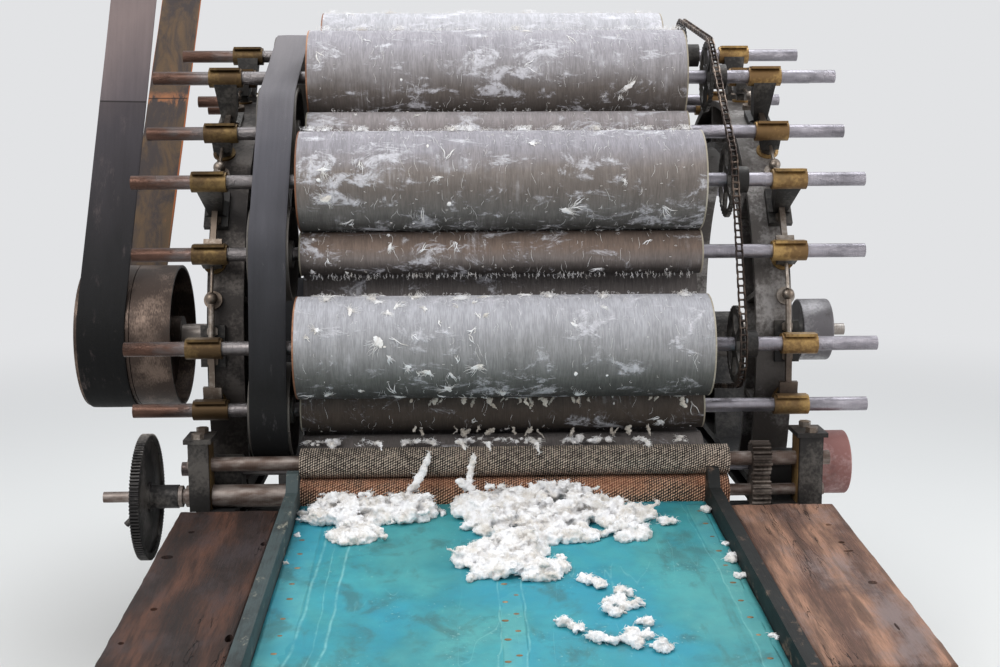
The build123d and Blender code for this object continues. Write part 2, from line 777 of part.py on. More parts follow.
# Ball posts, adjusting rods and forks along each bend
with BuildPart() as ball_post:
    with BuildSketch(radial):
        Circle(ball_boss_radius)
    extrude(amount=ball_boss_height)
    with BuildSketch(radial):
        Circle(ball_neck_radius)
    extrude(amount=ball_lift)
    with Locations((0, bend_radius + ball_lift, 0)):
        Sphere(ball_radius)
rod_circle = bend_radius + ball_lift
with BuildPart() as adjusting_rods:
    for side in sides:
        x = side * sleeve_centre
        for number, angle in enumerate(worker_angles):
            ball_angle = angle - ball_lag
            with Locations(about_swift(side, ball_angle)):
                add(ball_post.part)
            ball = (x, *polar(rod_circle, ball_angle))
            rod(ball, (x, *polar(rod_circle, angle)), thick_rod_radius)
            if number + 1 < len(worker_angles):
                rod(ball, (x, *polar(rod_circle, stripper_angles[number + 1])), thin_rod_radius)
    add(worker_brackets.part, mode=Mode.SUBTRACT)
    add(stripper_studs.part, mode=Mode.SUBTRACT)
with BuildPart() as fork:
    fork_edges = (rod_circle - square_rod / 2, rod_circle + square_rod / 2)
    fork_end = -saddle_length / 2
    block((-fork_width / 2, fork_width / 2), fork_edges, (fork_end - fork_height, fork_end))
    worker_place = (0, rod_circle * cos(radians(stripper_lead)),
                    -rod_circle * sin(radians(stripper_lead)))
    run = Vector(*worker_place) - Vector(0, rod_circle, fork_end - fork_height / 2)
    with BuildSketch(Plane(origin=worker_place, x_dir=(1, 0, 0), z_dir=run)):
        Rectangle(square_rod, square_rod)
    extrude(amount=-run.length)
with BuildPart() as fork_bars:
    for side in sides:
        for angle in stripper_angles:
            with Locations(about_swift(side, angle)):
                add(fork.part)
    add(worker_brackets.part, mode=Mode.SUBTRACT)
rod_solids = adjusting_rods.part.solids() + fork_bars.part.solids()
write(Compound(children=list(rod_solids)), "adjusting_rods")

# Bends: arched castings with an outer and an inner flange, a web, ribs and two feet
for name, side in (("bend_left", -1), ("bend_right", 1)):
    with BuildPart() as bend:
        middle = across(0, axis_height, side * bend_centre)
        with BuildSketch(middle) as web:
            Circle(bend_radius - 2)
            Circle(bend_radius - bend_depth + 2, mode=Mode.SUBTRACT)
        extrude(web.sketch, amount=bend_web / 2, both=True)
        with BuildSketch(middle) as flanges:
            Circle(bend_radius)
            Circle(bend_radius - bend_rim, mode=Mode.SUBTRACT)
            Circle(bend_radius - bend_depth + bend_web)
            Circle(bend_radius - bend_depth, mode=Mode.SUBTRACT)
            with PolarLocations(bend_radius - bend_depth / 2, bend_ribs, start_angle=-8,
                                angular_range=196, endpoint=True):
                Rectangle(bend_depth - bend_rim - 4, 12)
        extrude(flanges.sketch, amount=bend_width / 2, both=True)
        x_edges = (side * bend_centre - bend_width, side * bend_centre + bend_width)
        block(x_edges, (-2 * bend_radius, 2 * bend_radius),
              (frame_top - 2 * bend_radius, frame_top), mode=Mode.SUBTRACT)
        foot_middle = sqrt((bend_radius - bend_depth / 2) ** 2 - frame_top_drop**2)
        for end in sides:
            block((side * bend_centre - bend_width / 2, side * bend_centre + bend_width / 2),
                  (end * foot_middle - bend_foot_length / 2,
                   end * foot_middle + bend_foot_length / 2),
                  (frame_top, frame_top + bend_foot_height))
    write(bend.part, name)

# Side frames: rail, legs, feet, tie and the pedestal of the swift bearing
seat_height = axis_height - bearing_block_height
for name, side in (("side_frame_left", -1), ("side_frame_right", 1)):
    with BuildPart() as side_frame:
        with BuildSketch(across(0, 0, side * bend_centre)) as body:
            with Locations(((rail_front + rail_back) / 2, frame_top - rail_depth / 2)):
                Rectangle(rail_back - rail_front, rail_depth)
            for centre in leg_centres:
                with BuildLine():
                    Polyline((centre - leg_top / 2, frame_top - rail_depth / 2),
                             (centre + leg_top / 2, frame_top - rail_depth / 2),
                             (centre + leg_bottom / 2, foot_height / 2),
                             (centre - leg_bottom / 2, foot_height / 2), close=True)
                make_face()
                with Locations((centre, foot_height / 2)):
                    Rectangle(foot_length, foot_height)
            tie_length = leg_centres[-1] - leg_centres[0]
            tie_middle = (leg_centres[-1] + leg_centres[0]) / 2
            with Locations((tie_middle, tie_rail_height)):
                Rectangle(tie_length, tie_rail_depth)
            with BuildLine():
                Polyline((-pedestal_base / 2, frame_top - 1), (pedestal_base / 2, frame_top - 1),
                         (pedestal_top / 2, seat_height), (-pedestal_top / 2, seat_height),
                         close=True)
            make_face()
        extrude(body.sketch, amount=frame_web / 2, both=True)
        with BuildSketch(across(0, 0, side * bend_centre)) as edges_of_frame:
            for z in (frame_top - 9, frame_top - rail_depth + 7):
                with Locations(((rail_front + rail_back) / 2, z)):
                    Rectangle(rail_back - rail_front, 18 if z > frame_top - 10 else 14)
            for end in (rail_front + 7, rail_back - 7):
                with Locations((end, frame_top - rail_depth / 2)):
                    Rectangle(14, rail_depth)
            for centre in leg_centres:
                for hand in sides:
                    with BuildLine():
                        Polyline((centre + hand * leg_top / 2, frame_top - rail_depth),
                                 (centre + hand * (leg_top / 2 - 14), frame_top - rail_depth),
                                 (centre + hand * (leg_bottom / 2 - 14), foot_height),
                                 (centre + hand * leg_bottom / 2, foot_height), close=True)
                    make_face()
                with Locations((centre, foot_height / 2)):
                    Rectangle(foot_length, foot_height)
            for hand in sides:
                with BuildLine():
                    Polyline((hand * pedestal_base / 2, frame_top - 1),
                             (hand * (pedestal_base / 2 - 20), frame_top - 1),
                             (hand * (pedestal_top / 2 - 16), seat_height),
                             (hand * pedestal_top / 2, seat_height), close=True)
                make_face()
            with Locations((0, seat_height - 10)):
                Rectangle(pedestal_top, 20)
        extrude(edges_of_frame.sketch, amount=bend_width / 2, both=True)
        timber_end = on_table(timber_back, -rail_depth - 8)[0]
        block((side * (bend_centre - bend_width / 2), side * (bend_centre + bend_width / 2)),
              (timber_end, rail_front + 1), (frame_top - rail_depth + 4, frame_top))
        block((side * (bend_centre - bend_width / 2), side * (bend_centre + bend_width / 2)),
              (-floor_sill_depth / 2, floor_sill_depth / 2), (0, tie_rail_height))
    write(side_frame.part, name)

# Bearing blocks of the swift, licker-in, doffer and comb shaft, standing on the frames
with BuildPart() as swift_bearings:
    for side in sides:
        x_edges = (side * (bend_centre - bend_width / 2), side * (bend_centre + bend_width / 2))
        block(x_edges, (-pedestal_top / 2 + 6, pedestal_top / 2 - 6),
              (seat_height, seat_height + 30))
        block(x_edges, (-58, 58), (seat_height + 29, axis_height + 4))
        turned(0, axis_height, bearing_cap_height, x_edges[0], x_edges[1])
        turned(0, axis_height, swift_journal_radius + running_clearance,
               side * (bend_centre - bend_width), side * (bend_centre + bend_width),
               mode=Mode.SUBTRACT)
write(swift_bearings.part, "swift_bearings")

with BuildPart() as end_bearings:
    for side in sides:
        x_edges = (side * (bend_centre - bend_width / 2), side * (bend_centre + bend_width / 2))
        far_edges = (side * (bend_centre - bend_width), side * (bend_centre + bend_width))
        for y, z, radius, foot in ((licker_y, licker_z, roller_shaft_radius, licker_foot),
                                   (doffer_y, doffer_z, doffer_shaft_radius, doffer_foot)):
            block(x_edges, (y - foot / 2, y + foot / 2), (frame_top, frame_top + 16))
            with BuildSketch(across(y, 0, x_edges[0])) as upright:
                with BuildLine():
                    Polyline((-radius - 22, frame_top + 15), (radius + 22, frame_top + 15),
                             (radius + 16, z), (-radius - 16, z), close=True)
                make_face()
                with Locations((0, z)):
                    Circle(radius + 17)
            extrude(upright.sketch, amount=x_edges[1] - x_edges[0])
            turned(y, z, radius + running_clearance, *far_edges, mode=Mode.SUBTRACT)
        block(x_edges, (comb_shaft_y - 24, comb_shaft_y + 24), (frame_top, comb_shaft_z))
        turned(comb_shaft_y, comb_shaft_z, 24, *x_edges)
        turned(comb_shaft_y, comb_shaft_z, comb_shaft_radius + running_clearance, *far_edges,
               mode=Mode.SUBTRACT)

# Cross rails between the side frames, and the sill on the floor below the swift
inner_face = bend_centre - bend_width / 2
with BuildPart() as cross_rails:
    for centre in leg_centres:
        for level in (cross_rail_low, frame_top - cross_rail_drop):
            block((-inner_face, inner_face),
                  (centre - cross_rail_depth / 2, centre + cross_rail_depth / 2),
                  (level, level + cross_rail_height))
    block((-inner_face, inner_face), (-floor_sill_depth / 2, floor_sill_depth / 2),
          (0, floor_sill_height))
write(cross_rails.part, "cross_rails")

# Stripper belt and the idler that tightens it
stripper_spots = [polar(stripper_circle, angle) for angle in stripper_angles]
pulley_face = stripper_pulley_radius + seat_clearance
idler_z = axis_height - idler_drop
belt_circles = [(y, z, pulley_face, 1) for y, z in stripper_spots]
belt_circles.append((idler_y, idler_z, idler_radius + seat_clearance, 1))
belt_circles.append((0, axis_height, drive_pulley_radius + belt_thickness + seat_clearance, -1))
with BuildPart() as stripper_belt:
    extrude(band(belt_circles, belt_thickness), amount=belt_width / 2, both=True)
    extrude(band(belt_circles, 0), amount=belt_width, both=True, mode=Mode.SUBTRACT)
stripper_belt.part.position = (belt_plane, 0, 0)
write(stripper_belt.part, "stripper_belt")

with BuildPart() as belt_idler:
    pulley(idler_y, idler_z, idler_radius, belt_plane, stripper_pulley_width,
           stripper_pulley_rim, idler_stud_radius + running_clearance, idler_stud_radius + 14)
write(belt_idler.part, "belt_idler")

stud_from = belt_plane + stripper_pulley_width / 2 + 6
with BuildPart() as idler_bracket:
    turned(idler_y, idler_z, idler_stud_radius, stud_from, -inner_face)
    block((-inner_face - bend_width, -inner_face), (idler_y - 40, idler_y + 40),
          (frame_top, frame_top + 14))
    block((-inner_face - 24, -inner_face), (idler_y - 34, idler_y + 34),
          (frame_top, idler_z + 34))
bracket_solids = end_bearings.part.solids() + idler_bracket.part.solids()
write(Compound(children=list(bracket_solids)), "end_bearings")

# Worker chain: framed inner links and pairs of outer plates around the chain wheels
worker_spots = [polar(worker_circle, angle) for angle in worker_angles]
chain_circles = [(y, z, pitch_radius(worker_teeth), 1) for y, z in worker_spots]
chain_circles.append((doffer_y, doffer_z, pitch_radius(doffer_teeth), 1))
chain_length = band_points(chain_circles, 0)
link_count = 2 * round(chain_length / chain_pitch / 2)
joints = band_points(chain_circles, link_count)
half_plate = chain_plate_height / 2
inner_face_x = chain_inner_gap / 2
outer_face_x = inner_face_x + chain_plate
with BuildPart() as inner_link:
    block((-outer_face_x, outer_face_x), (-chain_bush / 2, chain_pitch + chain_bush / 2),
          (-half_plate, half_plate))
    block((-inner_face_x, inner_face_x), (chain_bush / 2, chain_pitch - chain_bush / 2),
          (-half_plate, half_plate), mode=Mode.SUBTRACT)
with BuildSketch(across(0, 0)) as plate_shape:
    with BuildLine():
        Polyline((-half_plate, 0), (0, half_plate), (chain_pitch, half_plate),
                 (chain_pitch + half_plate, 0), (chain_pitch, -half_plate), (0, -half_plate),
                 close=True)
    make_face()
with BuildPart() as outer_link:
    for side in sides:
        face = plate_shape.sketch.moved(Location((side * outer_face_x, 0, 0)))
        extrude(face, amount=side * chain_plate)
links = []
for number, (y, z) in enumerate(joints):
    next_y, next_z = joints[(number + 1) % link_count]
    heading = degrees(atan2(next_z - z, next_y - y))
    kind = inner_link if number % 2 == 0 else outer_link
    links += kind.part.moved(Location((chain_plane, y, z), (heading, 0, 0))).solids()
worker_chain = Compound(children=links)
write(worker_chain, "worker_chain")

# Main drive belt: under the fast pulley and up out of reach, leaning in and back
belt_in = main_pulley_radius + seat_clearance
belt_out = belt_in + main_belt_thickness
belt_half = main_belt_width / 2
belt_leans = {-1: main_belt_near_lean, 1: main_belt_far_lean}
belt_touches = {}
for end, (_, lean_y) in belt_leans.items():
    slant = atan2(lean_y, 1)
    belt_touches[end] = (end * cos(slant), -end * sin(slant))
with BuildPart() as main_drive_belt:
    with BuildSketch(across(0, axis_height, fast_centre)) as wrap:
        Circle(belt_out)
        Circle(belt_in, mode=Mode.SUBTRACT)
        with BuildLine():
            near, far = [tuple(2 * belt_out * value for value in belt_touches[end])
                         for end in sides]
            Polyline((0, 0), near, (-2 * belt_out, 4 * belt_out), (2 * belt_out, 4 * belt_out),
                     far, close=True)
        make_face(mode=Mode.SUBTRACT)
    extrude(wrap.sketch, amount=belt_half, both=True)
    for end in sides:
        lean_x, lean_y = belt_leans[end]
        foot_y = (belt_in + main_belt_thickness / 2) * belt_touches[end][0]
        foot_z = axis_height + (belt_in + main_belt_thickness / 2) * belt_touches[end][1]
        start = Plane(origin=(fast_centre, foot_y, foot_z), x_dir=(1, 0, 0),
                      z_dir=(0, lean_y, 1))
        climb = axis_height + main_belt_rise - foot_z
        top = Plane(origin=(fast_centre + lean_x * climb, foot_y + lean_y * climb,
                            axis_height + main_belt_rise), x_dir=(1, 0, 0), z_dir=(0, lean_y, 1))
        with BuildSketch(start) as foot_section:
            Rectangle(main_belt_width, main_belt_thickness)
        with BuildSketch(top) as top_section:
            Rectangle(main_belt_width, main_belt_thickness)
        loft([foot_section.sketch.face(), top_section.sketch.face()])
write(main_drive_belt.part, "main_drive_belt")

# Feed table: timbers, bearers and posts
board_bottom = -timber_thickness
for name, edges in (("timber_left", left_timber_edges), ("timber_right", right_timber_edges)):
    with BuildPart() as timber:
        slope_dir = (0, -cos(radians(table_slope)), -sin(radians(table_slope)))
        normal = (0, -sin(radians(table_slope)), cos(radians(table_slope)))
        y, z = on_table(0, 0)
        with BuildSketch(Plane(origin=(0, y, z), x_dir=slope_dir, z_dir=normal)):
            with Locations(((timber_back + timber_front) / 2, sum(edges) / 2)):
                Rectangle(timber_front - timber_back, edges[1] - edges[0])
        extrude(amount=-timber_thickness)
        uprights = timber.edges().filter_by(Axis((0, 0, 0), normal)).group_by(Axis.Y)[0]
        outer_edge = uprights.sort_by(Axis.X)[0 if edges[0] < 0 else -1]
        fillet(outer_edge, timber_corner)
    write(timber.part, name)

with BuildPart() as table_trestle:
    for place in bearer_places:
        with BuildSketch(table_section(-bearer_half_length)) as bearer:
            with Locations((place, board_bottom - bearer_size / 2)):
                Rectangle(bearer_size, bearer_size)
        extrude(bearer.sketch, amount=-2 * bearer_half_length)
    post_y, post_top = on_table(bearer_places[-1], board_bottom - bearer_size + 4)
    for side in sides:
        block((side * (post_centre - post_size / 2), side * (post_centre + post_size / 2)),
              (post_y - post_size / 2, post_y + post_size / 2), (0, post_top))
    block((-post_centre, post_centre), (post_y - post_size / 4, post_y + post_size / 4),
          (post_tie_height, post_tie_height + post_tie_depth))
write(table_trestle.part, "table_trestle")

# Side boards with a raised horn by the rollers, and the deck between them
board_faces = {"side_board_left": (apron_edges[0] - side_board_gap, -1),
               "side_board_right": (apron_edges[1] + side_board_gap, 1)}
back_axis = (0.0, -apron_thickness - seat_clearance - apron_back_radius)
front_axis = (table_length, -apron_thickness - seat_clearance - apron_front_radius)
for name, (face_x, hand) in board_faces.items():
    with BuildPart() as side_board:
        with BuildSketch(table_section(face_x)) as shape:
            with BuildLine():
                Polyline((side_board_back, board_bottom), (side_board_back, horn_height),
                         (side_board_back + horn_length * 0.45, horn_height),
                         (side_board_back + horn_length, side_board_height),
                         (side_board_front, side_board_height),
                         (side_board_front, board_bottom), close=True)
            make_face()
            with Locations(back_axis):
                Circle(apron_back_pin + running_clearance, mode=Mode.SUBTRACT)
            with Locations(front_axis):
                Circle(apron_front_pin + running_clearance, mode=Mode.SUBTRACT)
        extrude(shape.sketch, amount=-hand * side_board_thickness)
    write(side_board.part, name)

with BuildPart() as table_deck:
    with BuildSketch(table_section(board_faces["side_board_left"][0])) as deck_shape:
        deck_from = apron_back_radius + 16
        deck_to = table_length - apron_front_radius - 16
        deck_top = -apron_thickness - seat_clearance
        with Locations(((deck_from + deck_to) / 2, deck_top - deck_thickness / 2)):
            Rectangle(deck_to - deck_from, deck_thickness)
    deck_width = board_faces["side_board_right"][0] - board_faces["side_board_left"][0]
    extrude(deck_shape.sketch, amount=-deck_width)
write(table_deck.part, "table_deck")

# Apron rollers, in holes of the side boards
for name, spot, radius, pin in (
    ("apron_roller_back", back_axis, apron_back_radius, apron_back_pin),
    ("apron_roller_front", front_axis, apron_front_radius, apron_front_pin),
):
    y, z = on_table(*spot)
    with BuildPart() as apron_roller:
        turned(y, z, radius, apron_edges[0] + 2, apron_edges[1] - 2)
        turned(y, z, pin, apron_edges[0] - side_board_gap - side_board_thickness,
               apron_edges[1] + side_board_gap + side_board_thickness)
    write(apron_roller.part, name)

# Apron: an endless sheet with three sewn strips
with BuildPart() as feed_apron:
    back_y, back_z = on_table(*back_axis)
    front_y, front_z = on_table(*front_axis)
    loop = [(back_y, back_z, apron_back_radius + seat_clearance, 1),
            (front_y, front_z, apron_front_radius + seat_clearance, 1)]
    middle_x = sum(apron_edges) / 2
    width = apron_edges[1] - apron_edges[0]
    extrude(band(loop, apron_thickness), amount=width / 2, both=True)
    extrude(band(loop, 0), amount=width, both=True, mode=Mode.SUBTRACT)
apron_body = feed_apron.part.moved(Location((middle_x, 0, 0)))
with BuildPart() as feed_apron:
    add(apron_body)
    for strip_x, strip_width in zip(strip_places, strip_widths):
        with BuildSketch(table_section(strip_x)) as strip:
            with Locations((table_length / 2, strip_height / 2 - 0.2)):
                Rectangle(table_length - 40, strip_height + 0.4)
        extrude(strip.sketch, amount=strip_width / 2, both=True)
write(feed_apron.part, "feed_apron")

# Wool on the apron: a heap by the rollers and two tufts, lying just on the sheet
wool_lumps = (
    (-376, 70, 52, 44), (-318, 92, 62, 52), (-262, 62, 64, 56), (-200, 72, 56, 44),
    (-334, 158, 48, 34), (-306, 212, 36, 24), (-146, 62, 46, 34), (-92, 72, 54, 46),
    (-32, 74, 62, 58), (30, 72, 70, 66), (98, 66, 72, 68), (164, 74, 64, 60),
    (226, 92, 56, 48), (276, 104, 34, 28), (-84, 146, 48, 40), (-14, 156, 62, 48),
    (58, 164, 64, 48), (128, 158, 56, 42), (184, 170, 38, 28), (8, 238, 56, 46),
    (-36, 296, 42, 36), (30, 312, 54, 42), (-22, 374, 40, 30), (42, 392, 54, 32),
    (92, 398, 32, 20), (-84, 330, 24, 16), (10, 440, 26, 16), (252, 182, 34, 26),
    (246, 238, 20, 14), (150, 224, 28, 16), (142, 462, 26, 18), (172, 500, 30, 20),
    (184, 560, 34, 22), (214, 566, 22, 16), (88, 652, 24, 16), (124, 690, 34, 20),
    (176, 722, 38, 24), (216, 690, 26, 16), (232, 650, 22, 14), (336, 139, 15, 10),
)
wool_base = strip_height + seat_clearance
with BuildPart() as wool:
    for x, s, reach, height in wool_lumps:
        radius = (reach**2 + height**2) / (2 * height)
        with Locations((x, *on_table(s, wool_base + height - radius))):
            Sphere(radius)
    normal = (0, -sin(radians(table_slope)), cos(radians(table_slope)))
    split(bisect_by=Plane(origin=(0, *on_table(0, wool_base)), z_dir=normal), keep=Keep.TOP)
write(wool.part, "wool")

# Bolts: bend feet, swift bearings, feed stands, end bearings and arm feet
bolt_places = []
for side in sides:
    x = side * bend_centre
    for end in sides:
        for offset in (-bend_foot_bolt, bend_foot_bolt):
            bolt_places.append((x, end * foot_middle + offset, frame_top + bend_foot_height))
        bolt_places.append((x, end * (pedestal_top / 2 - 20), seat_height + 30))
    for end in sides:
        bolt_places.append((x + side * 24, doffer_y + end * (doffer_foot / 2 - 14),
                            frame_top + 16))
for edges in (left_stand_edges, right_stand_edges):
    for end in sides:
        bolt_places.append((sum(edges) / 2, feed_y + end * (stand_depth / 2 - 6),
                            stand_top + stand_plate))
with BuildPart() as arm_nuts:
    foot_face = Plane(origin=(0, bend_radius + arm_foot_height, 0), z_dir=(0, 1, 0))
    with BuildSketch(foot_face):
        with GridLocations(2 * arm_bolt, 1, 2, 1):
            RegularPolygon(bolt_flats / 2, 6, major_radius=False)
    extrude(amount=arm_nut_height)
with BuildPart() as hex_bolts:
    for place in bolt_places:
        with BuildSketch(Plane.XY.offset(place[2])) as head:
            with Locations((place[0], place[1])):
                RegularPolygon(bolt_flats / 2, 6, major_radius=False)
        extrude(head.sketch, amount=bolt_head)
    for side in sides:
        for angle in (*worker_angles, fancy_angle):
            with Locations(about_swift(side, angle)):
                add(arm_nuts.part)
write(hex_bolts.part, "hex_bolts")
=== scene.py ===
import random
from math import asin, atan2, cos, hypot, pi, radians, sin, sqrt, tau

import bmesh
import bpy
from mathutils import Matrix, Vector, noise


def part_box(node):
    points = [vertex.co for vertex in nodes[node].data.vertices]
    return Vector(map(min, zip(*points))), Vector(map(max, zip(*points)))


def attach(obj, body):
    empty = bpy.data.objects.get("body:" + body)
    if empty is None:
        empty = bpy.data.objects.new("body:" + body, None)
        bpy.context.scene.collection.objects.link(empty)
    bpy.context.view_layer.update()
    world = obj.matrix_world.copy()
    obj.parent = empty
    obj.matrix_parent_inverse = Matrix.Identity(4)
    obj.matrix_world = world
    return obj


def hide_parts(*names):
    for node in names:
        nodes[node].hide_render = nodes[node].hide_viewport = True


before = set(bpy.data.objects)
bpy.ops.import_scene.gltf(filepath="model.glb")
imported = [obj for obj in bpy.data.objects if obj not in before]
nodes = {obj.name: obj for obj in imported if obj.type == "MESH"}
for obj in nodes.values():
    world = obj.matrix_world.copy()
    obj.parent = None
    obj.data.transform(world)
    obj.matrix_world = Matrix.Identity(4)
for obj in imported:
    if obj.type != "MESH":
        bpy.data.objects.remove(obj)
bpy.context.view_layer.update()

scene = bpy.context.scene
chance = random.Random(11)
between = chance.uniform
noise.seed_set(2)

# Main sizes in metres, the same as in the part's own source
axis_height = 0.820
half_width = 0.457
swift_radius = 0.6425
worker_circle = 0.7575
worker_radius = 0.114
stripper_circle = 0.6935
stripper_radius = 0.050
worker_angles = (173.9, 144.3, 115.5, 84.4, 54.4)
stripper_lead = 12.0
feed_y = -0.795
upper_feed_z = axis_height - 0.172
lower_feed_z = axis_height - 0.244
table_slope = radians(4.0)
table_back = -0.850
table_drop = 0.258
table_length = 0.952
apron_edges = (-0.450, 0.442)
apron_back_radius = 0.026
apron_front_radius = 0.044
timber_edges = {"left": (-0.707, -0.495), "right": (0.495, 0.720)}
timber_ends = (0.020, 0.812)
timber_thickness = 0.095
chain_plane = 0.521
chain_pitch = 0.015875
licker = (0.7185, 196.87)
drive_plane = -1.033
drive_leans = ((0.056, 0.40), (0.045, 0.64))
drive_middle = 0.1948
drive_top = axis_height + 1.010
drive_width = 0.125
feed_radius = 0.043
plate_height = 0.0118

# Where the finishes of the rollers and of the wide belt change
near_joint = 1.434
back_joint = 1.472
clothing_end = 0.4566
spindle_radius = 0.0299
stripper_pulley_end = -0.4703
feed_wire_ends = (-0.4534, 0.5004)

# Spans and steps of the dressing
wool_span = (-0.44, 0.44)
strip_inset = 0.020
timber_step = 0.012


def polar(radius, angle):
    """Y and Z of a point by radius and angle about the swift's axis."""
    return radius * cos(radians(angle)), axis_height + radius * sin(radians(angle))


def on_table(x, s, h):
    """Point s down the feed table and h above the apron."""
    y = table_back - s * cos(table_slope) - h * sin(table_slope)
    z = axis_height - table_drop - s * sin(table_slope) + h * cos(table_slope)
    return Vector((x, y, z))


def tone(colour):
    """Linear colour from the red, green and blue it has on screen, 0 to 255. A linear colour
    or a node's value stays as it is."""
    if isinstance(colour, Value) or len(colour) == 4:
        return colour
    screen = [value / 255 for value in colour]
    linear = [v / 12.92 if v <= 0.04045 else ((v + 0.055) / 1.055) ** 2.4 for v in screen]
    return (*linear, 1.0)


# Materials

haze_white = (206, 205, 211)


def maths(operation, turned=False):
    """A method of Value that adds one Math node."""
    def method(self, *others):
        terms = (*others, self) if turned else (self, *others)
        return self.finish.node("ShaderNodeMath", {"operation": operation}, dict(enumerate(terms)))
    return method


class Value:
    """One output of a shader node. Arithmetic on it adds Math nodes."""

    def __init__(self, finish, socket):
        self.finish = finish
        self.socket = socket

    __add__ = __radd__ = maths("ADD")
    __sub__ = maths("SUBTRACT")
    __rsub__ = maths("SUBTRACT", True)
    __mul__ = __rmul__ = maths("MULTIPLY")
    __truediv__ = maths("DIVIDE")
    __abs__ = maths("ABSOLUTE")
    sine = maths("SINE")
    root = maths("SQRT")
    arctan2 = maths("ARCTAN2")

    def step(self, low, high, to_low=0.0, to_high=1.0):
        """Smooth step between two limits."""
        return self.finish.node("ShaderNodeMapRange", {"interpolation_type": "SMOOTHSTEP"},
                                {"Value": self, "From Min": low, "From Max": high,
                                 "To Min": to_low, "To Max": to_high})

    def fade(self, low, high):
        """Smooth step from one down to nothing."""
        return self.step(low, high, 1.0, 0.0)

    def past(self, place, soft):
        """Nearly sharp step at a place."""
        return self.step(place - soft, place + soft)


class Finish:
    """A material built from nodes."""

    def __init__(self, name, **fixed):
        self.material = bpy.data.materials.new(name)
        self.material.use_nodes = True
        self.tree = self.material.node_tree
        self.shader = self.tree.nodes["Principled BSDF"]
        for socket, value in fixed.items():
            if socket == "Base_Color":
                value = self.material.diffuse_color = tone(value)
            self.shader.inputs[socket.replace("_", " ")].default_value = value

    def node(self, kind, settings=None, inputs=None, output=0):
        node = self.tree.nodes.new(kind)
        for name, value in (settings or {}).items():
            if name == "stops":
                while len(node.color_ramp.elements) < len(value):
                    node.color_ramp.elements.new(0.5)
                for element, (position, *colour) in zip(node.color_ramp.elements, value):
                    element.position = position
                    element.color = tone(colour)
            else:
                setattr(node, name, value)
        for name, value in (inputs or {}).items():
            if isinstance(value, Value):
                self.tree.links.new(value.socket, node.inputs[name])
            else:
                node.inputs[name].default_value = value
        return Value(self, node.outputs[output])

    def place(self, stretch=(1, 1, 1), centre=(0, 0, 0), turn=(0, 0, 0)):
        """Object coordinates about a centre, turned and stretched."""
        coords = self.node("ShaderNodeTexCoord", output="Object")
        moved = self.node("ShaderNodeVectorMath", {"operation": "SUBTRACT"},
                          {0: coords, 1: centre})
        return self.node("ShaderNodeMapping", None,
                         {"Vector": moved, "Rotation": turn, "Scale": stretch})

    def axes(self, stretch=(1, 1, 1), centre=(0, 0, 0), turn=(0, 0, 0)):
        """The three coordinates as separate values."""
        split = self.tree.nodes.new("ShaderNodeSeparateXYZ")
        self.tree.links.new(self.place(stretch, centre, turn).socket, split.inputs[0])
        return [Value(self, output) for output in split.outputs]

    def noise(self, scale, stretch=(1, 1, 1), detail=4.0, rough=0.55, distort=0.0, **where):
        return self.node("ShaderNodeTexNoise", None,
                         {"Vector": self.place(stretch, **where), "Scale": scale,
                          "Detail": detail, "Roughness": rough, "Distortion": distort})

    def cells(self, scale, stretch, **where):
        return self.node("ShaderNodeTexVoronoi", None,
                         {"Vector": self.place(stretch, **where), "Scale": scale})

    def mix(self, share, first, second):
        return self.node("ShaderNodeMix", {"data_type": "RGBA"},
                         {0: share, 6: tone(first), 7: tone(second)}, 2)

    def ramp(self, value, stops):
        return self.node("ShaderNodeValToRGB", {"stops": stops}, {"Fac": value})

    def shade(self, colour, factor):
        """Colour made darker or lighter by a number."""
        return self.node("ShaderNodeMix", {"data_type": "RGBA", "blend_type": "MULTIPLY"},
                         {0: 1.0, 6: colour, 7: factor}, 2)

    def give(self, **values):
        """Link values to the shader's own sockets."""
        for name, value in values.items():
            self.tree.links.new(value.socket, self.shader.inputs[name.replace("_", " ")])
        return self

    def bump(self, height, distance, strength=1.0):
        normal = self.node("ShaderNodeBump", None,
                           {"Height": height, "Distance": distance, "Strength": strength})
        return self.give(Normal=normal)


def metal(name, base, worn, dirt, roughness, metallic=0.9, scale=9.0, stretch=(1, 1, 1),
          grain=0.0003, right=1.0):
    """Bare or oily metal with brighter wear and darker grime. A right other than one brightens or
    darkens its right half: painted light or shade on that side."""
    finish = Finish(name, Base_Color=base)
    cloud = finish.noise(scale, detail=6)
    fine = finish.noise(scale * 14, stretch, detail=3)
    wear = (cloud + fine * 0.35).step(0.62, 0.86)
    grime = (finish.noise(scale * 0.6, detail=8, rough=0.65) + fine * 0.2).step(0.62, 0.85)
    colour = finish.mix(grime, finish.mix(wear, base, worn), dirt)
    # Painted light or shade: the right half multiplied by a number
    if right != 1.0:
        colour = finish.shade(colour, finish.axes()[0].step(-0.1, 0.1, 1.0, right))
    finish.give(Base_Color=colour, Roughness=roughness + cloud * 0.22 - wear * 0.12 + grime * 0.2,
                Metallic=metallic - grime * metallic * 0.75)
    return finish.bump(fine + cloud * 0.6, grain)


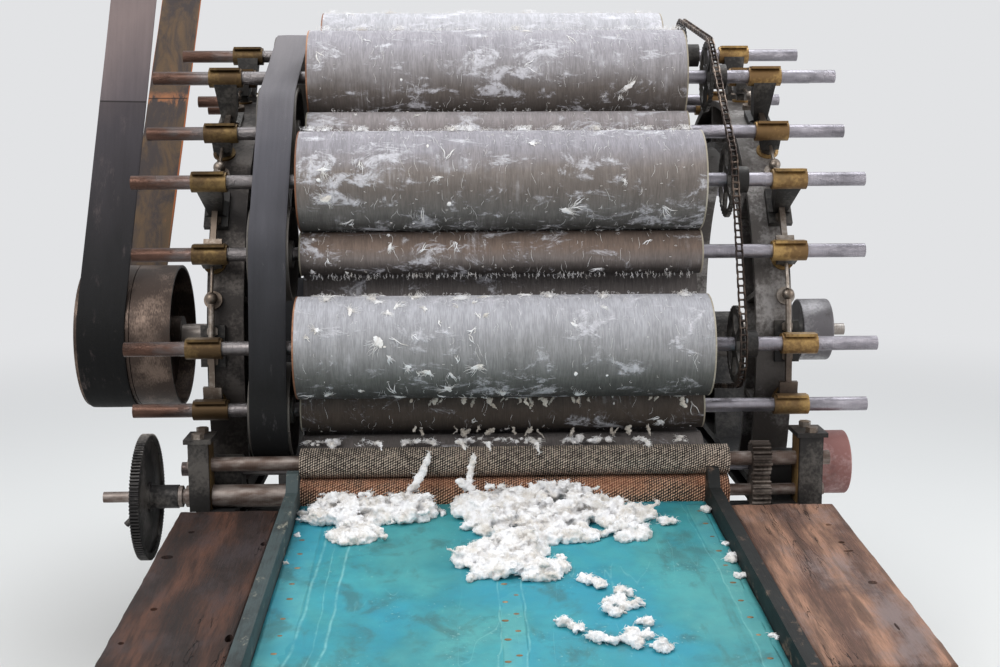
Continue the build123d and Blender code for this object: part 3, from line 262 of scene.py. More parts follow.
def card_clothing(name, centre, radius, stops, haze, seed, left_pulley=False):
    """Fine wire clothing wound round a roller, with wool fibre caught in it. The stops give
    its colour from the roller's underside to its top: its own tone, with painted shade below
    and painted light on top."""
    where = {"centre": (seed * 0.37, *centre)}
    finish = Finish(name, Base_Color=stops[-1][1:])
    x, y, z = finish.axes(centre=(0, *centre))
    cloud = finish.noise(5.0, (1.0, 1.7, 1.7), detail=6, rough=0.62, distort=0.6, **where)
    # Colour by height: painted shade on the underside, painted light on the top
    height = z / (2 * radius) + 0.5
    base = finish.ramp(height + (cloud - 0.5) * 0.35, stops)
    fine = finish.noise(1.0, (420, 42, 42), detail=4, rough=0.6, **where)
    band = finish.noise(1.0, (60, 10, 10), detail=3, **where)
    streaks = (fine * 0.62 + band * 0.38).step(0.36, 0.66)
    wires = finish.shade(base, 0.74 + streaks * 0.36)
    felt = finish.noise(24, (0.9, 1.5, 1.5), detail=8, rough=0.74, distort=1.0, **where)
    smudge = finish.noise(8.5, (1.0, 1.9, 1.9), detail=8, rough=0.7, distort=0.7, **where)
    patch = (smudge + (felt - 0.5) * 0.3).step(0.585 - haze * 0.15, 0.73 - haze * 0.15)
    combed = finish.noise(1.0, (105, 8, 8), detail=6, rough=0.7, distort=0.4, **where)
    veil = (combed * 0.45 + cloud * 0.75).step(0.68 - haze * 0.12, 0.84 - haze * 0.12)
    wisps = abs(finish.noise(15, (1.1, 0.9, 0.9), detail=4, rough=0.6, distort=1.8, **where) - 0.5)
    thread = wisps.fade(0.0, 0.030) * smudge.step(0.46, 0.60)
    knots = (finish.cells(30, (1.0, 1.3, 1.3), **where) + felt * 0.2).fade(0.15, 0.24)
    white = (patch * (0.26 + felt * 0.86) + veil * 0.36 + thread * 0.3
             + knots * felt.step(0.50, 0.62) * 0.7)
    colour = finish.mix(white.step(0.0, 1.05), wires, haze_white)
    spindle = (y * y + z * z).root().past(spindle_radius, -0.0003)
    end = abs(x).past(clothing_end, 0.0002) * (1.0 - spindle)
    colour = finish.mix(end, colour, (58, 52, 47))
    metal_share = spindle
    if left_pulley:
        drum = x.past(stripper_pulley_end, -0.0003) * (1.0 - spindle)
        colour = finish.mix(drum, colour, (88, 84, 80))
        metal_share = spindle + drum * 0.6
    rub = finish.noise(16, (1.0, 2.5, 2.5), detail=6)
    # Spindle steel paler on the right half as painted light, rust brown at its far left end
    steel = finish.mix(x.step(-0.2, 0.3), (122, 117, 117), (154, 150, 157))
    steel = finish.mix((rub * 0.30 - x).step(0.80, 0.94), steel, (84, 62, 53))
    steel = finish.shade(steel, 0.05 + rub * 1.75)
    colour = finish.mix(spindle, colour, steel)
    finish.give(Base_Color=colour, Metallic=0.12 + metal_share * 0.75,
                Roughness=0.8 - metal_share * 0.5 + rub * 0.1)
    return finish.bump(fine * 0.6 + felt * 0.7 + patch * 0.8 + thread * 0.4, 0.0018, 0.7)


def saw_wire(name, centre, dark, light, rust, rust_share):
    """Toothed wire wound round a feed roller, with painted highlights on the tips of its slanting
    teeth.
    """
    finish = Finish(name, Base_Color=dark)
    x, y, z = finish.axes(centre=(0.0, *centre))
    angle = z.arctan2(y)
    rough = finish.noise(120, detail=5)
    cloud = finish.noise(12, (0.6, 1, 1), detail=6)
    wires = (x / 0.0052 * tau + angle * 2.0 + cloud * 3.0).sine()
    teeth = (angle * 34.0 + x / 0.0125 * tau + rough * 3.0).sine()
    # Painted highlights on the teeth and wire ridges
    painted_glint = (teeth * 0.24 + wires * 0.30 + rough * 1.2 + cloud * 0.5).step(0.66, 1.30)
    colour = finish.mix(painted_glint, dark, light)
    rusted = (cloud + rough * 0.3).step(0.72 - rust_share * 0.4, 0.95 - rust_share * 0.3)
    colour = finish.mix(rusted * rust_share, colour, rust)
    plain = x.past(feed_wire_ends[1], 0.0002) + x.past(feed_wire_ends[0], -0.0002)
    rub = finish.noise(20, (1, 2.5, 2.5), detail=6)
    steel = finish.mix(rub.step(0.35, 0.65), (92, 76, 68), (142, 132, 126))
    colour = finish.mix(plain, colour, steel)
    finish.give(Base_Color=colour, Roughness=0.45 + rough * 0.2 - plain * 0.12,
                Metallic=0.3 + painted_glint * 0.35)
    return finish.bump((teeth * 0.8 + wires * 0.4 + rough * 0.5) * (1.0 - plain), 0.0018)


def leather(name, stops, joined=False):
    """Worn flat belting with scuffs, painted shade low down and painted light higher up. A joined
    belt has a browner, patched back run and a lapped seam across its near run."""
    finish = Finish(name, Base_Color=stops[1][1:], Specular_IOR_Level=0.22)
    cloud = finish.noise(4.0, (3.0, 0.8, 0.8), detail=7, rough=0.6)
    streaks = finish.noise(1.0, (130, 5, 5), detail=4)
    grain = finish.noise(380, detail=3)
    x, y, z = finish.axes()
    # Colour by height: painted shade low down, painted light higher up
    colour = finish.ramp((z - 0.6) / 1.3 + (cloud - 0.5) * 0.14, stops)
    colour = finish.shade(colour, 0.66 + streaks * 0.36 + cloud * 0.32)
    scuff = finish.noise(14, (2, 0.7, 0.7), detail=8, rough=0.75).step(0.56, 0.72)
    colour = finish.mix(scuff * 0.4, colour, stops[-1][1:])
    if joined:
        back = (y - z * 0.52).step(-0.436, -0.416)
        rust = finish.noise(7.0, (2.4, 0.9, 0.9), detail=8, rough=0.72, distort=0.8)
        brown = finish.mix(rust.step(0.40, 0.62), (62, 55, 54), (92, 74, 56))
        band = abs(z - back_joint + (rust - 0.5) * 0.10).fade(0.0, 0.05)
        brown = finish.mix((rust + band * 0.24).step(0.62, 0.76), brown, (140, 94, 66))
        brown = finish.shade(brown, 0.62 + streaks * 0.3 + cloud * 0.4)
        colour = finish.mix(back * z.step(0.80, 1.05), colour, brown)
        tail = (1.0 - back) * (z + x * 0.02).step(near_joint, near_joint + 0.001)
        tail = tail - tail * z.step(near_joint + 0.14, near_joint + 0.5) * 0.7
        colour = finish.shade(colour, 1.0 + tail * 0.55)
        joint = abs(z - near_joint + x * 0.02).fade(0.0014, 0.0026) * (1.0 - back)
        fringe = abs(z - back_joint).fade(0.0014, 0.0026) * back
        colour = finish.mix((joint + fringe) * 0.8, colour, (26, 22, 21))
        rim = abs(x - 0.050 * (z - axis_height) - drive_plane).step(0.0600, 0.0618)
        colour = finish.mix(rim * back * z.step(1.0, 1.2) * 0.7, colour, (176, 98, 52))
    finish.give(Base_Color=colour, Roughness=0.56 + grain * 0.2 + streaks * 0.12)
    return finish.bump(grain * 0.5 + streaks * 0.4 + cloud * 0.6, 0.0009)


def timber(name, base, light, dark, weather, seed):
    """Old plank with grain along its length, cracks, stains and grey weathering."""
    finish = Finish(name, Base_Color=base, Specular_IOR_Level=0.3)
    where = {"centre": (seed, 0.3 * seed, 0), "turn": (-table_slope, 0, 0)}
    wander = finish.noise(2.2, (1.4, 0.7, 1.4), detail=3, **where)
    x, _, z = finish.axes(**where)
    figure = (x * 58 + wander * 17 + z * 26).sine() * 0.5 + 0.5
    fibre = finish.noise(1.0, (420, 9, 420), detail=5, rough=0.65, **where)
    coarse = finish.noise(1.0, (70, 4.5, 70), detail=5, rough=0.6, **where)
    split = abs(finish.noise(1.0, (26, 1.5, 26), detail=4, rough=0.55, **where) - 0.5)
    cracked = finish.noise(1.0, (9, 1.2, 9), detail=3, **where)
    crack = split.fade(0.0, 0.006) * cracked.step(0.52, 0.6)
    patch = finish.noise(5.5, (1.4, 0.8, 1.4), detail=8, rough=0.68, **where)
    colour = finish.mix((figure * 0.28 + fibre * 0.72 + coarse * 0.4).step(0.45, 1.0), base, light)
    colour = finish.mix((coarse + fibre * 0.3).step(0.55, 0.8) * 0.7, colour, dark)
    colour = finish.mix((patch + fibre * 0.22).step(0.60, 0.82) * 0.75, colour, weather)
    stain = finish.noise(3.1, detail=7, rough=0.7, **where)
    colour = finish.mix(stain.step(0.55, 0.72) * 0.6, colour, dark)
    colour = finish.mix(crack * 0.9, colour, (22, 14, 12))
    finish.give(Base_Color=colour, Roughness=0.62 + fibre * 0.25 - patch * 0.12)
    return finish.bump(fibre * 0.45 + coarse * 0.5 + figure * 0.3 - crack * 1.6, 0.0022)


def painted_board(name, base, rubbed, dark):
    """Old paint on board, rubbed and stained."""
    finish = Finish(name, Base_Color=base, Specular_IOR_Level=0.3)
    grain = finish.noise(1.0, (300, 7, 300), detail=4, turn=(-table_slope, 0, 0))
    patch = finish.noise(7, (1, 0.6, 1), detail=8, rough=0.7)
    chips = finish.noise(38, (1, 0.5, 1), detail=6, rough=0.7)
    colour = finish.mix((patch + grain * 0.25).step(0.56, 0.82), base, dark)
    colour = finish.mix((chips + patch * 0.4).step(0.78, 0.92), colour, rubbed)
    finish.give(Base_Color=colour, Roughness=0.48 + patch * 0.3)
    return finish.bump(grain * 0.6 + chips * 0.5, 0.0009)


def canvas(name, base, faded, deep):
    """Painted canvas with a fine weave, faded patches, stains and long pale creases."""
    finish = Finish(name, Base_Color=base)
    x, y, _ = finish.axes()
    weave = (x * 2600).sine() * (y * 2600).sine()
    cloud = finish.noise(3.0, (1.0, 0.7, 1.0), detail=7, rough=0.6, distort=0.4)
    mottle = finish.noise(24, detail=7, rough=0.7)
    stain = finish.noise(7.5, detail=8, rough=0.74)
    specks = finish.noise(150, detail=3)
    broad = finish.noise(2.2, (1.3, 0.8, 1.0), detail=5, rough=0.55, distort=0.3)
    colour = finish.mix((cloud + mottle * 0.3).step(0.44, 0.82), base, faded)
    colour = finish.mix(broad.step(0.44, 0.62) * 0.75, colour, (24, 138, 164))
    colour = finish.mix(broad.step(0.50, 0.36) * 0.5, colour, (84, 158, 154))
    grime = finish.noise(12, (1.0, 0.7, 1.0), detail=5, rough=0.6, distort=0.5)
    colour = finish.mix((grime + stain * 0.3).step(0.66, 0.84) * 0.6, colour, (48, 92, 92))
    colour = finish.mix(stain.step(0.54, 0.7) * 0.5, colour, deep)
    trails = finish.noise(1.0, (26, 4.5, 26), detail=5, rough=0.6)
    colour = finish.mix(trails.step(0.56, 0.70) * x.step(0.12, 0.30) * 0.5, colour, (52, 104, 104))
    colour = finish.shade(colour, 0.86 + mottle * 0.28)
    crease = abs(finish.noise(1.0, (9, 0.8, 9), detail=2, distort=0.3,
                              turn=(-table_slope, 0, 0)) - 0.5)
    line = crease.fade(0.0, 0.004) * stain.step(0.46, 0.56) * 0.2
    sway = finish.noise(1.0, (0.6, 4.0, 0.6), detail=3)
    for at, lean, width, share in ((-0.333, 0.02, 0.0040, 0.50), (-0.386, 0.03, 0.0044, 0.45),
                                   (-0.356, 0.0, 0.0022, 0.3), (-0.034, 0.01, 0.0026, 0.35),
                                   (0.012, 0.0, 0.0030, 0.35), (0.397, -0.01, 0.0024, 0.3)):
        fold = abs(x - at - (y + 1.4) * lean + (sway - 0.5) * 0.045)
        line = line + fold.fade(0.0, width) * (share * (mottle + stain * 0.6).step(0.55, 0.95))
    colour = finish.mix(line, colour, (146, 202, 202))
    colour = finish.mix((specks + stain * 0.5).step(0.93, 1.0) * 0.5, colour, (150, 190, 184))
    finish.give(Base_Color=colour, Roughness=0.5 + mottle * 0.22)
    return finish.bump(weave * 0.12 + mottle * 0.5 + line, 0.0009)


def fleece(name, base, shade):
    """Raw wool: matt white fibre with soft cream shadows."""
    finish = Finish(name, Base_Color=base, Sheen_Weight=0.3, Sheen_Roughness=0.5,
                    Specular_IOR_Level=0.2)
    cloud = finish.noise(30, detail=6, rough=0.65)
    fibre = finish.noise(240, (1, 0.4, 1), detail=4, distort=2.0)
    finish.give(Base_Color=finish.mix((cloud + fibre * 0.25).step(0.42, 0.75), shade, base),
                Roughness=0.85 + fibre * 0.1)
    return finish.bump(fibre + cloud, 0.0015)


dark_iron = metal("dark cast iron", (40, 38, 37), (88, 84, 80), (24, 20, 18), 0.42,
                  metallic=0.5, grain=0.0006)
frame_iron = metal("frame casting", (36, 36, 37), (74, 72, 70), (22, 19, 17), 0.46,
                   metallic=0.4, grain=0.0008)
left_bend_iron = metal("dark bend casting", (38, 33, 31), (84, 78, 74),
                       (24, 19, 17), 0.44, metallic=0.5, grain=0.0006)
# Same cast iron as the left bend, painted paler: painted light on the right bend
right_bend_iron_painted_light = metal("bend casting with painted light", (82, 77, 74), (150, 146, 144),
                        (40, 33, 28), 0.4, metallic=0.5, grain=0.0006)
bright_steel = metal("bright shaft steel", (140, 132, 126), (196, 192, 188),
                     (96, 78, 66), 0.26, stretch=(3, 1, 1), grain=0.0001)
rod_steel = metal("brown rod steel", (112, 100, 90), (166, 158, 150),
                  (66, 52, 44), 0.34, grain=0.0002)
# Its right half 2.6 times brighter: painted light
old_brass = metal("dull brass", (76, 58, 36), (116, 94, 58), (36, 28, 19), 0.4,
                  metallic=0.7, grain=0.0003, right=2.6)
pulley_steel = metal("worn pulley face", (58, 47, 41), (110, 94, 84),
                     (36, 27, 22), 0.38, metallic=0.7, stretch=(3, 1, 1), grain=0.0003)
smooth_grey = metal("smooth grey pulley", (100, 97, 100), (150, 148, 150),
                    (56, 52, 50), 0.34, metallic=0.5, grain=0.0002)
red_iron = metal("rust red drum", (136, 94, 90), (186, 156, 154), (90, 54, 50), 0.42,
                 metallic=0.3, grain=0.0004)
chain_steel = metal("oily chain steel", (56, 45, 40), (128, 112, 100), (26, 20, 17),
                    0.32, metallic=0.75, scale=28, grain=0.0002)
gear_iron = metal("worn gear iron", (66, 58, 53), (132, 122, 114), (34, 27, 22),
                  0.38, metallic=0.65, grain=0.0003)
wheel_iron = metal("black wheel iron", (48, 46, 46), (112, 108, 104), (26, 24, 23),
                   0.34, metallic=0.65, grain=0.0003)
# Belt stops from low to high: near black below as painted shade, paler above as painted light
belt_leather = leather("dark flat belt", (
    (0.16, 14, 14, 15), (0.34, 52, 52, 56), (0.56, 82, 81, 87), (0.82, 116, 112, 114)))
drive_leather = leather("brown drive belt", (
    (0.22, 6, 6, 7), (0.36, 30, 29, 31), (0.60, 63, 59, 63), (0.84, 98, 87, 86)), True)
left_wood = timber("dark plank", (33, 24, 22), (92, 60, 46), (14, 10, 10), (58, 49, 50), 1.3)
right_wood = timber("brown plank", (88, 64, 55), (176, 134, 110), (44, 33, 31),
                    (128, 114, 112), 4.1)
plain_wood = timber("table timber", (88, 62, 48), (124, 92, 70), (46, 33, 28), (120, 104, 92), 7.7)
left_paint = painted_board("grey green board paint", (60, 71, 72), (134, 132, 120), (36, 38, 38))
# Same board paint as the left board, darkened to near black: painted shade
right_paint_in_painted_shade = painted_board("board paint in painted shade", (17, 20, 20), (96, 78, 66), (9, 10, 10))
teal_canvas = canvas("teal canvas", (30, 122, 133), (58, 150, 156), (20, 96, 106))
white_wool = fleece("raw white wool", (248, 248, 250), (218, 212, 204))
# Each feed wire's second colour is its painted highlight
upper_wire = saw_wire("dark feed wire", (feed_y, upper_feed_z), (30, 23, 19),
                      (216, 200, 184), (112, 84, 64), 0.2)
lower_wire = saw_wire("rusty feed wire", (feed_y, lower_feed_z), (60, 40, 31),
                      (250, 206, 176), (168, 100, 64), 0.5)
cream_wool = fleece("cream wool", (214, 208, 198), (172, 160, 146))
copper_edge = metal("orange brown edge", (124, 82, 58), (166, 122, 92),
                    (92, 60, 44), 0.5, metallic=0.3)
ivory_edge = metal("ivory edge", (150, 142, 126), (178, 172, 158), (110, 94, 76),
                   0.6, metallic=0.0)
strip_canvas = canvas("strip canvas", (48, 138, 146), (84, 160, 162), (34, 108, 114))
rust_brown = metal("rusty tack", (122, 96, 66), (160, 132, 96), (72, 54, 40), 0.5,
                   metallic=0.4, scale=60)


def coat(finish, *names):
    """Give a finish to CAD nodes."""
    for name in names:
        slots = nodes[name].data.materials
        slots.clear()
        slots.append(finish.material)


# Roller colours from underside to top: own tone, painted shade below, painted light on top
worker_tone_and_painted_shading = (
    ((0.05, 66, 65, 63), (0.25, 104, 104, 101), (0.5, 150, 149, 150), (0.9, 176, 176, 182)),
    ((0.05, 70, 68, 65), (0.2, 112, 109, 106), (0.42, 112, 104, 99), (0.62, 130, 121, 116),
     (0.85, 148, 145, 151)),
    ((0.1, 68, 61, 56), (0.35, 104, 96, 91), (0.6, 148, 144, 146), (0.85, 158, 155, 161)),
    ((0.1, 110, 106, 102), (0.5, 160, 157, 158), (0.85, 182, 181, 186)),
    ((0.1, 96, 90, 86), (0.5, 146, 141, 138), (0.85, 172, 170, 172)))
stripper_tone_and_painted_shading = (
    ((0.1, 58, 49, 43), (0.5, 80, 69, 61), (0.9, 104, 94, 88)),
    ((0.15, 68, 62, 59), (0.4, 124, 115, 111), (0.65, 120, 103, 93), (0.9, 96, 82, 74)),
    ((0.1, 100, 93, 89), (0.5, 138, 130, 129), (0.9, 152, 146, 147)),
    ((0.1, 112, 106, 102), (0.5, 152, 147, 145), (0.9, 166, 162, 162)),
    ((0.1, 92, 84, 78), (0.5, 126, 117, 110), (0.9, 148, 141, 136)))
worker_haze = (0.44, 0.5, 0.52, 0.7, 0.7)
stripper_haze = (0.22, 0.4, 0.46, 0.5, 0.4)

# Centre and radius of each clothed roller
roller_place = {}
for number, angle in enumerate(worker_angles, 1):
    for kind, centre, radius, stops, haze, seed in (
            ("worker", polar(worker_circle, angle), worker_radius, worker_tone_and_painted_shading, worker_haze,
             number),
            ("stripper", polar(stripper_circle, angle + stripper_lead), stripper_radius,
             stripper_tone_and_painted_shading, stripper_haze, number + 10)):
        name = f"{kind}_{number}"
        roller_place[name] = centre, radius
        coat(card_clothing(f"{kind} clothing {number}", centre, radius, stops[number - 1],
                           haze[number - 1], seed, kind == "stripper"), name)
    coat(dark_iron, f"worker_{number}_sprocket")
# Own tone with painted shade below and painted light on top
plain_tone_and_painted_shading = ((0.0, 82, 76, 73), (0.5, 98, 92, 90), (1.0, 112, 106, 104))
for name, centre, radius, haze in (("swift_drum", (0, axis_height), swift_radius, 0.12),
                                   ("licker_in", polar(*licker), 0.075, 0.1),
                                   ("fancy", polar(0.7735, 27), 0.13, 0.3),
                                   ("doffer", polar(0.8935, -10), 0.25, 0.5)):
    coat(card_clothing(f"{name} clothing", centre, radius, plain_tone_and_painted_shading, haze,
                       30 + haze * 10), name)

for finish, names in (
        (bright_steel, "swift_shaft apron_roller_back apron_roller_front doffer_comb"),
        (rod_steel, "adjusting_rods hex_bolts"),
        (upper_wire, "feed_roller_upper"),
        (lower_wire, "feed_roller_lower"),
        (dark_iron, "worker_brackets stripper_studs feed_stands swift_bearings end_bearings"),
        (left_bend_iron, "bend_left"),
        (right_bend_iron_painted_light, "bend_right"),
        (frame_iron, "side_frame_left side_frame_right cross_rails"),
        (old_brass, "roller_bearings feed_bearings stud_washers"),
        (pulley_steel, "fast_pulley loose_pulley stripper_drive_pulley belt_idler"),
        (smooth_grey, "right_pulley"),
        (red_iron, "licker_pulley"),
        (chain_steel, "worker_chain"),
        (gear_iron, "feed_pinion_upper feed_pinion_lower"),
        (wheel_iron, "feed_wheel"),
        (belt_leather, "stripper_belt"),
        (drive_leather, "main_drive_belt"),
        (left_wood, "timber_left"),
        (right_wood, "timber_right"),
        (plain_wood, "table_deck table_trestle"),
        (left_paint, "side_board_left"),
        (right_paint_in_painted_shade, "side_board_right"),
        (teal_canvas, "feed_apron"),
        (white_wool, "wool")):
    coat(finish, *names.split())


# Making pieces

def add(name, data):
    """Put an object into the scene."""
    thing = bpy.data.objects.new(name, data)
    scene.collection.objects.link(thing)
    return thing


def mesh_of(form):
    """The mesh of a form, which is then freed."""
    shape = bpy.data.meshes.new("form")
    form.to_mesh(shape)
    form.free()
    return shape


def keep(name, form, finish, body, crease=35):
    """Turn a form or a mesh into a piece that moves with a body."""
    shape = mesh_of(form) if isinstance(form, bmesh.types.BMesh) else form
    shape.name = name
    shape.materials.clear()
    shape.materials.append(finish.material)
    shape.shade_smooth()
    shape.set_sharp_from_angle(angle=radians(crease))
    piece = add(name, shape)
    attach(piece, body)
    return piece


def final_mesh(thing):
    """The mesh of an object with its modifiers or its curve's thickness applied."""
    bpy.context.view_layer.update()
    return bpy.data.meshes.new_from_object(
        thing.evaluated_get(bpy.context.evaluated_depsgraph_get()))


def settle(piece):
    """Apply a piece's modifiers to its mesh."""
    solid = final_mesh(piece)
    piece.modifiers.clear()
    old = piece.data
    piece.data = solid
    bpy.data.meshes.remove(old)


def thicken(piece, thickness, edge=0.0):
    """Give a sheet of faces its thickness, and its edges a small round."""
    wall = piece.modifiers.new("thickness", "SOLIDIFY")
    wall.thickness = thickness
    wall.offset = -1
    if edge:
        soft_edge = piece.modifiers.new("edge", "BEVEL")
        soft_edge.width = edge
        soft_edge.segments = 2
    settle(piece)


def roughen(shape, height, size, seed):
    """Move vertices along their normals by smooth noise."""
    shift = Vector((seed, seed * 1.7, -seed))
    places = [vertex.co + vertex.normal * height
              * noise.fractal(vertex.co / size + shift, 0.8, 2.0, 3) for vertex in shape.vertices]
    for vertex, place in zip(shape.vertices, places):
        vertex.co = place


def strand_mesh(paths, thickness, taper=0.45):
    """Thin tubes along lists of points."""
    line = bpy.data.curves.new("strands", "CURVE")
    line.dimensions = "3D"
    line.bevel_depth = thickness / 2
    line.bevel_resolution = 0
    for path in paths:
        spline = line.splines.new("POLY")
        last = len(path) - 1
        spline.points.add(last)
        for place, (point, spot) in enumerate(zip(spline.points, path)):
            point.co = (*spot, 1.0)
            point.radius = 1.0 - (1.0 - taper) * abs(2 * place / last - 1) ** 2
    holder = add("strands", line)
    shape = final_mesh(holder)
    bpy.data.objects.remove(holder)
    return shape


def ring(profile, centre):
    """Spin a closed profile of x and radius about a roller's axis."""
    form = bmesh.new()
    y, z = centre
    corners = [form.verts.new((x, y, z + radius)) for x, radius in profile]
    edges = [form.edges.new((corners[i - 1], corners[i])) for i in range(len(corners))]
    bmesh.ops.spin(form, geom=corners + edges, cent=(0, y, z), axis=(1, 0, 0), dvec=(0, 0, 0),
                   angle=tau, steps=96, use_merge=True, use_duplicate=False)
    return close_up(form)


def close_up(form):
    """Merge doubled points and point the faces outwards."""
    bmesh.ops.remove_doubles(form, verts=form.verts, dist=0.00002)
    bmesh.ops.recalc_face_normals(form, faces=form.faces)
    return form


def lump(form, radius, matrix, fineness=1):
    """A small ball of facets. Gives its vertices."""
    return bmesh.ops.create_icosphere(form, subdivisions=fineness, radius=radius,
                                      matrix=matrix)["verts"]


# Wool caught on the rollers

def shares(points):
    """Even shares of a strand, from 0 to 1."""
    return [step / (points - 1) for step in range(points)]


def on_roller(name, x, angle, lift=0.0):
    (y, z), radius = roller_place[name]
    return Vector((x, y + (radius + lift) * cos(angle), z + (radius + lift) * sin(angle)))


def hair(name, x, angle, length, lift, sway):
    """A fibre lying on a roller, combed round it, its middle standing off a little."""
    radius = roller_place[name][1]
    turn = chance.choice((-1, 1)) * length / radius
    phase = between(0, tau)
    lean = between(-0.5, 0.5) * length
    return [on_roller(name, x + lean * share + sway * sin(phase + 5 * share),
                      angle + turn * share + sway / radius * cos(phase + 4 * share),
                      0.0004 + lift * sin(pi * share)) for share in shares(6)]


def wisp(name, x, angle, length, curl):
    """A fibre that stands off a roller and curls over."""
    phase = between(0, tau)
    bend = between(-1.2, 1.2)
    start = on_roller(name, x, angle)
    out = (on_roller(name, x, angle, 1.0) - start).normalized()
    side = Vector((1, 0, 0))
    round_it = out.cross(side)
    path = []
    for share in shares(7):
        away = sin(min(share * 1.25, 1.0) * pi * 0.5)
        path.append(start + out * length * 0.6 * away + round_it * length * 0.5 * share * bend
                    + side * curl * sin(phase + share * 7)
                    + out * curl * 0.6 * cos(phase + share * 7))
    return path


def clear_angle(name, spread=0.55):
    """A random angle on a roller, away from where it meets the swift."""
    (y, z), _ = roller_place[name]
    nip = atan2(axis_height - z, -y)
    return nip + between(spread, tau - spread)


def nub(form, name, x, angle, size):
    """A small matted knot of wool lying on a roller."""
    stretch = Matrix.Diagonal((between(0.8, 1.6), between(0.8, 2.4), 0.5, 1))
    place = (Matrix.Translation(on_roller(name, x, angle, size * 0.15))
             @ Matrix.Rotation(angle - pi / 2, 4, "X") @ stretch)
    for vertex in lump(form, size, place, 2):
        vertex.co += Vector(noise.noise_vector(vertex.co * 190)) * size * 0.45


def tuft(name, x, angle, length, strands):
    """A matted knot with tails that lie along the roller."""
    turn = between(-1.4, 1.4) - (pi if chance.random() < 0.3 else 0.0)
    radius = roller_place[name][1]
    paths = []
    for _ in range(strands):
        heading = turn + chance.gauss(0, 0.35)
        reach = length * between(0.4, 1.2)
        curl = between(0.0008, 0.0028)
        phase = between(0, tau)
        start_x, start_angle = x + chance.gauss(0, 0.0012), angle + chance.gauss(0, 0.012)
        path = []
        for share in shares(6):
            along = reach * share
            bend = curl * sin(phase + share * 6)
            across = along * sin(heading) + bend * cos(heading)
            turned = (along * cos(heading) - bend * sin(heading)) / radius
            path.append(on_roller(name, start_x + across, start_angle + turned,
                                  0.0006 + 0.0022 * sin(pi * share) * chance.random()))
        paths.append(path)
    return paths


def smear(form, name, x, angle, length, width, thick):
    """A matted lock of wool lying on a roller, its outline ragged."""
    heading, bend = between(0, pi), between(-1.2, 1.2)
    seed = between(0, 90)
    radius = roller_place[name][1]
    for vertex in lump(form, 1.0, Matrix(), 3):
        u, v, w = vertex.co
        rag = Vector(noise.noise_vector(Vector((u * 2.1, v * 2.1, seed))))
        fine = Vector(noise.noise_vector(Vector((u * 5.5, v * 5.5, seed + 9))))
        along = (u + 0.5 * rag.x + 0.22 * fine.x) * length / 2
        side = (v * (1 - 0.5 * u * u) + 0.7 * rag.y + 0.35 * fine.y + bend * u * u) * width / 2
        high = thick * (0.5 + 0.5 * w) * (0.55 + 0.9 * abs(rag.z) + 0.5 * abs(fine.z))
        vertex.co = on_roller(name, x + along * sin(heading) + side * cos(heading),
                              angle + (along * cos(heading) - side * sin(heading)) / radius, high)


def bush(name, x, angle, count, length):
    """Wisps that stand together, fluffed up."""
    return [wisp(name, x + chance.gauss(0, 0.009), angle + chance.gauss(0, 0.07),
                 length * between(0.4, 1.1), between(0.001, 0.004)) for _ in range(count)]


# On each roller: smears, and the places of fluffed-up bushes at its top
smears = {"worker_1": 34, "worker_2": 10, "worker_3": 7, "worker_4": 5, "worker_5": 2,
          "stripper_1": 8, "stripper_2": 5, "stripper_3": 3, "stripper_4": 2}
bushes = {"worker_1": ((-0.39, 105), (-0.29, 104), (-0.19, 100), (-0.09, 105), (0.10, 100),
                       (0.22, 104), (0.40, 100)),
          "worker_2": ((-0.43, 92), (-0.40, 95), (-0.32, 94), (-0.24, 95), (-0.11, 96),
                       (-0.09, 93), (-0.07, 96), (0.05, 92), (0.13, 95), (0.22, 94),
                       (0.33, 92), (0.42, 90)),
          "worker_3": ((-0.42, 86), (-0.33, 84), (-0.24, 86), (0.05, 84), (0.32, 85),
                       (0.41, 86), (0.44, 84)),
          "worker_4": ((-0.44, 82), (-0.28, 80), (-0.08, 82), (-0.05, 80), (0.10, 78),
                       (0.105, 80), (0.40, 80)),
          "stripper_1": ((-0.20, 100), (0.30, 100))}

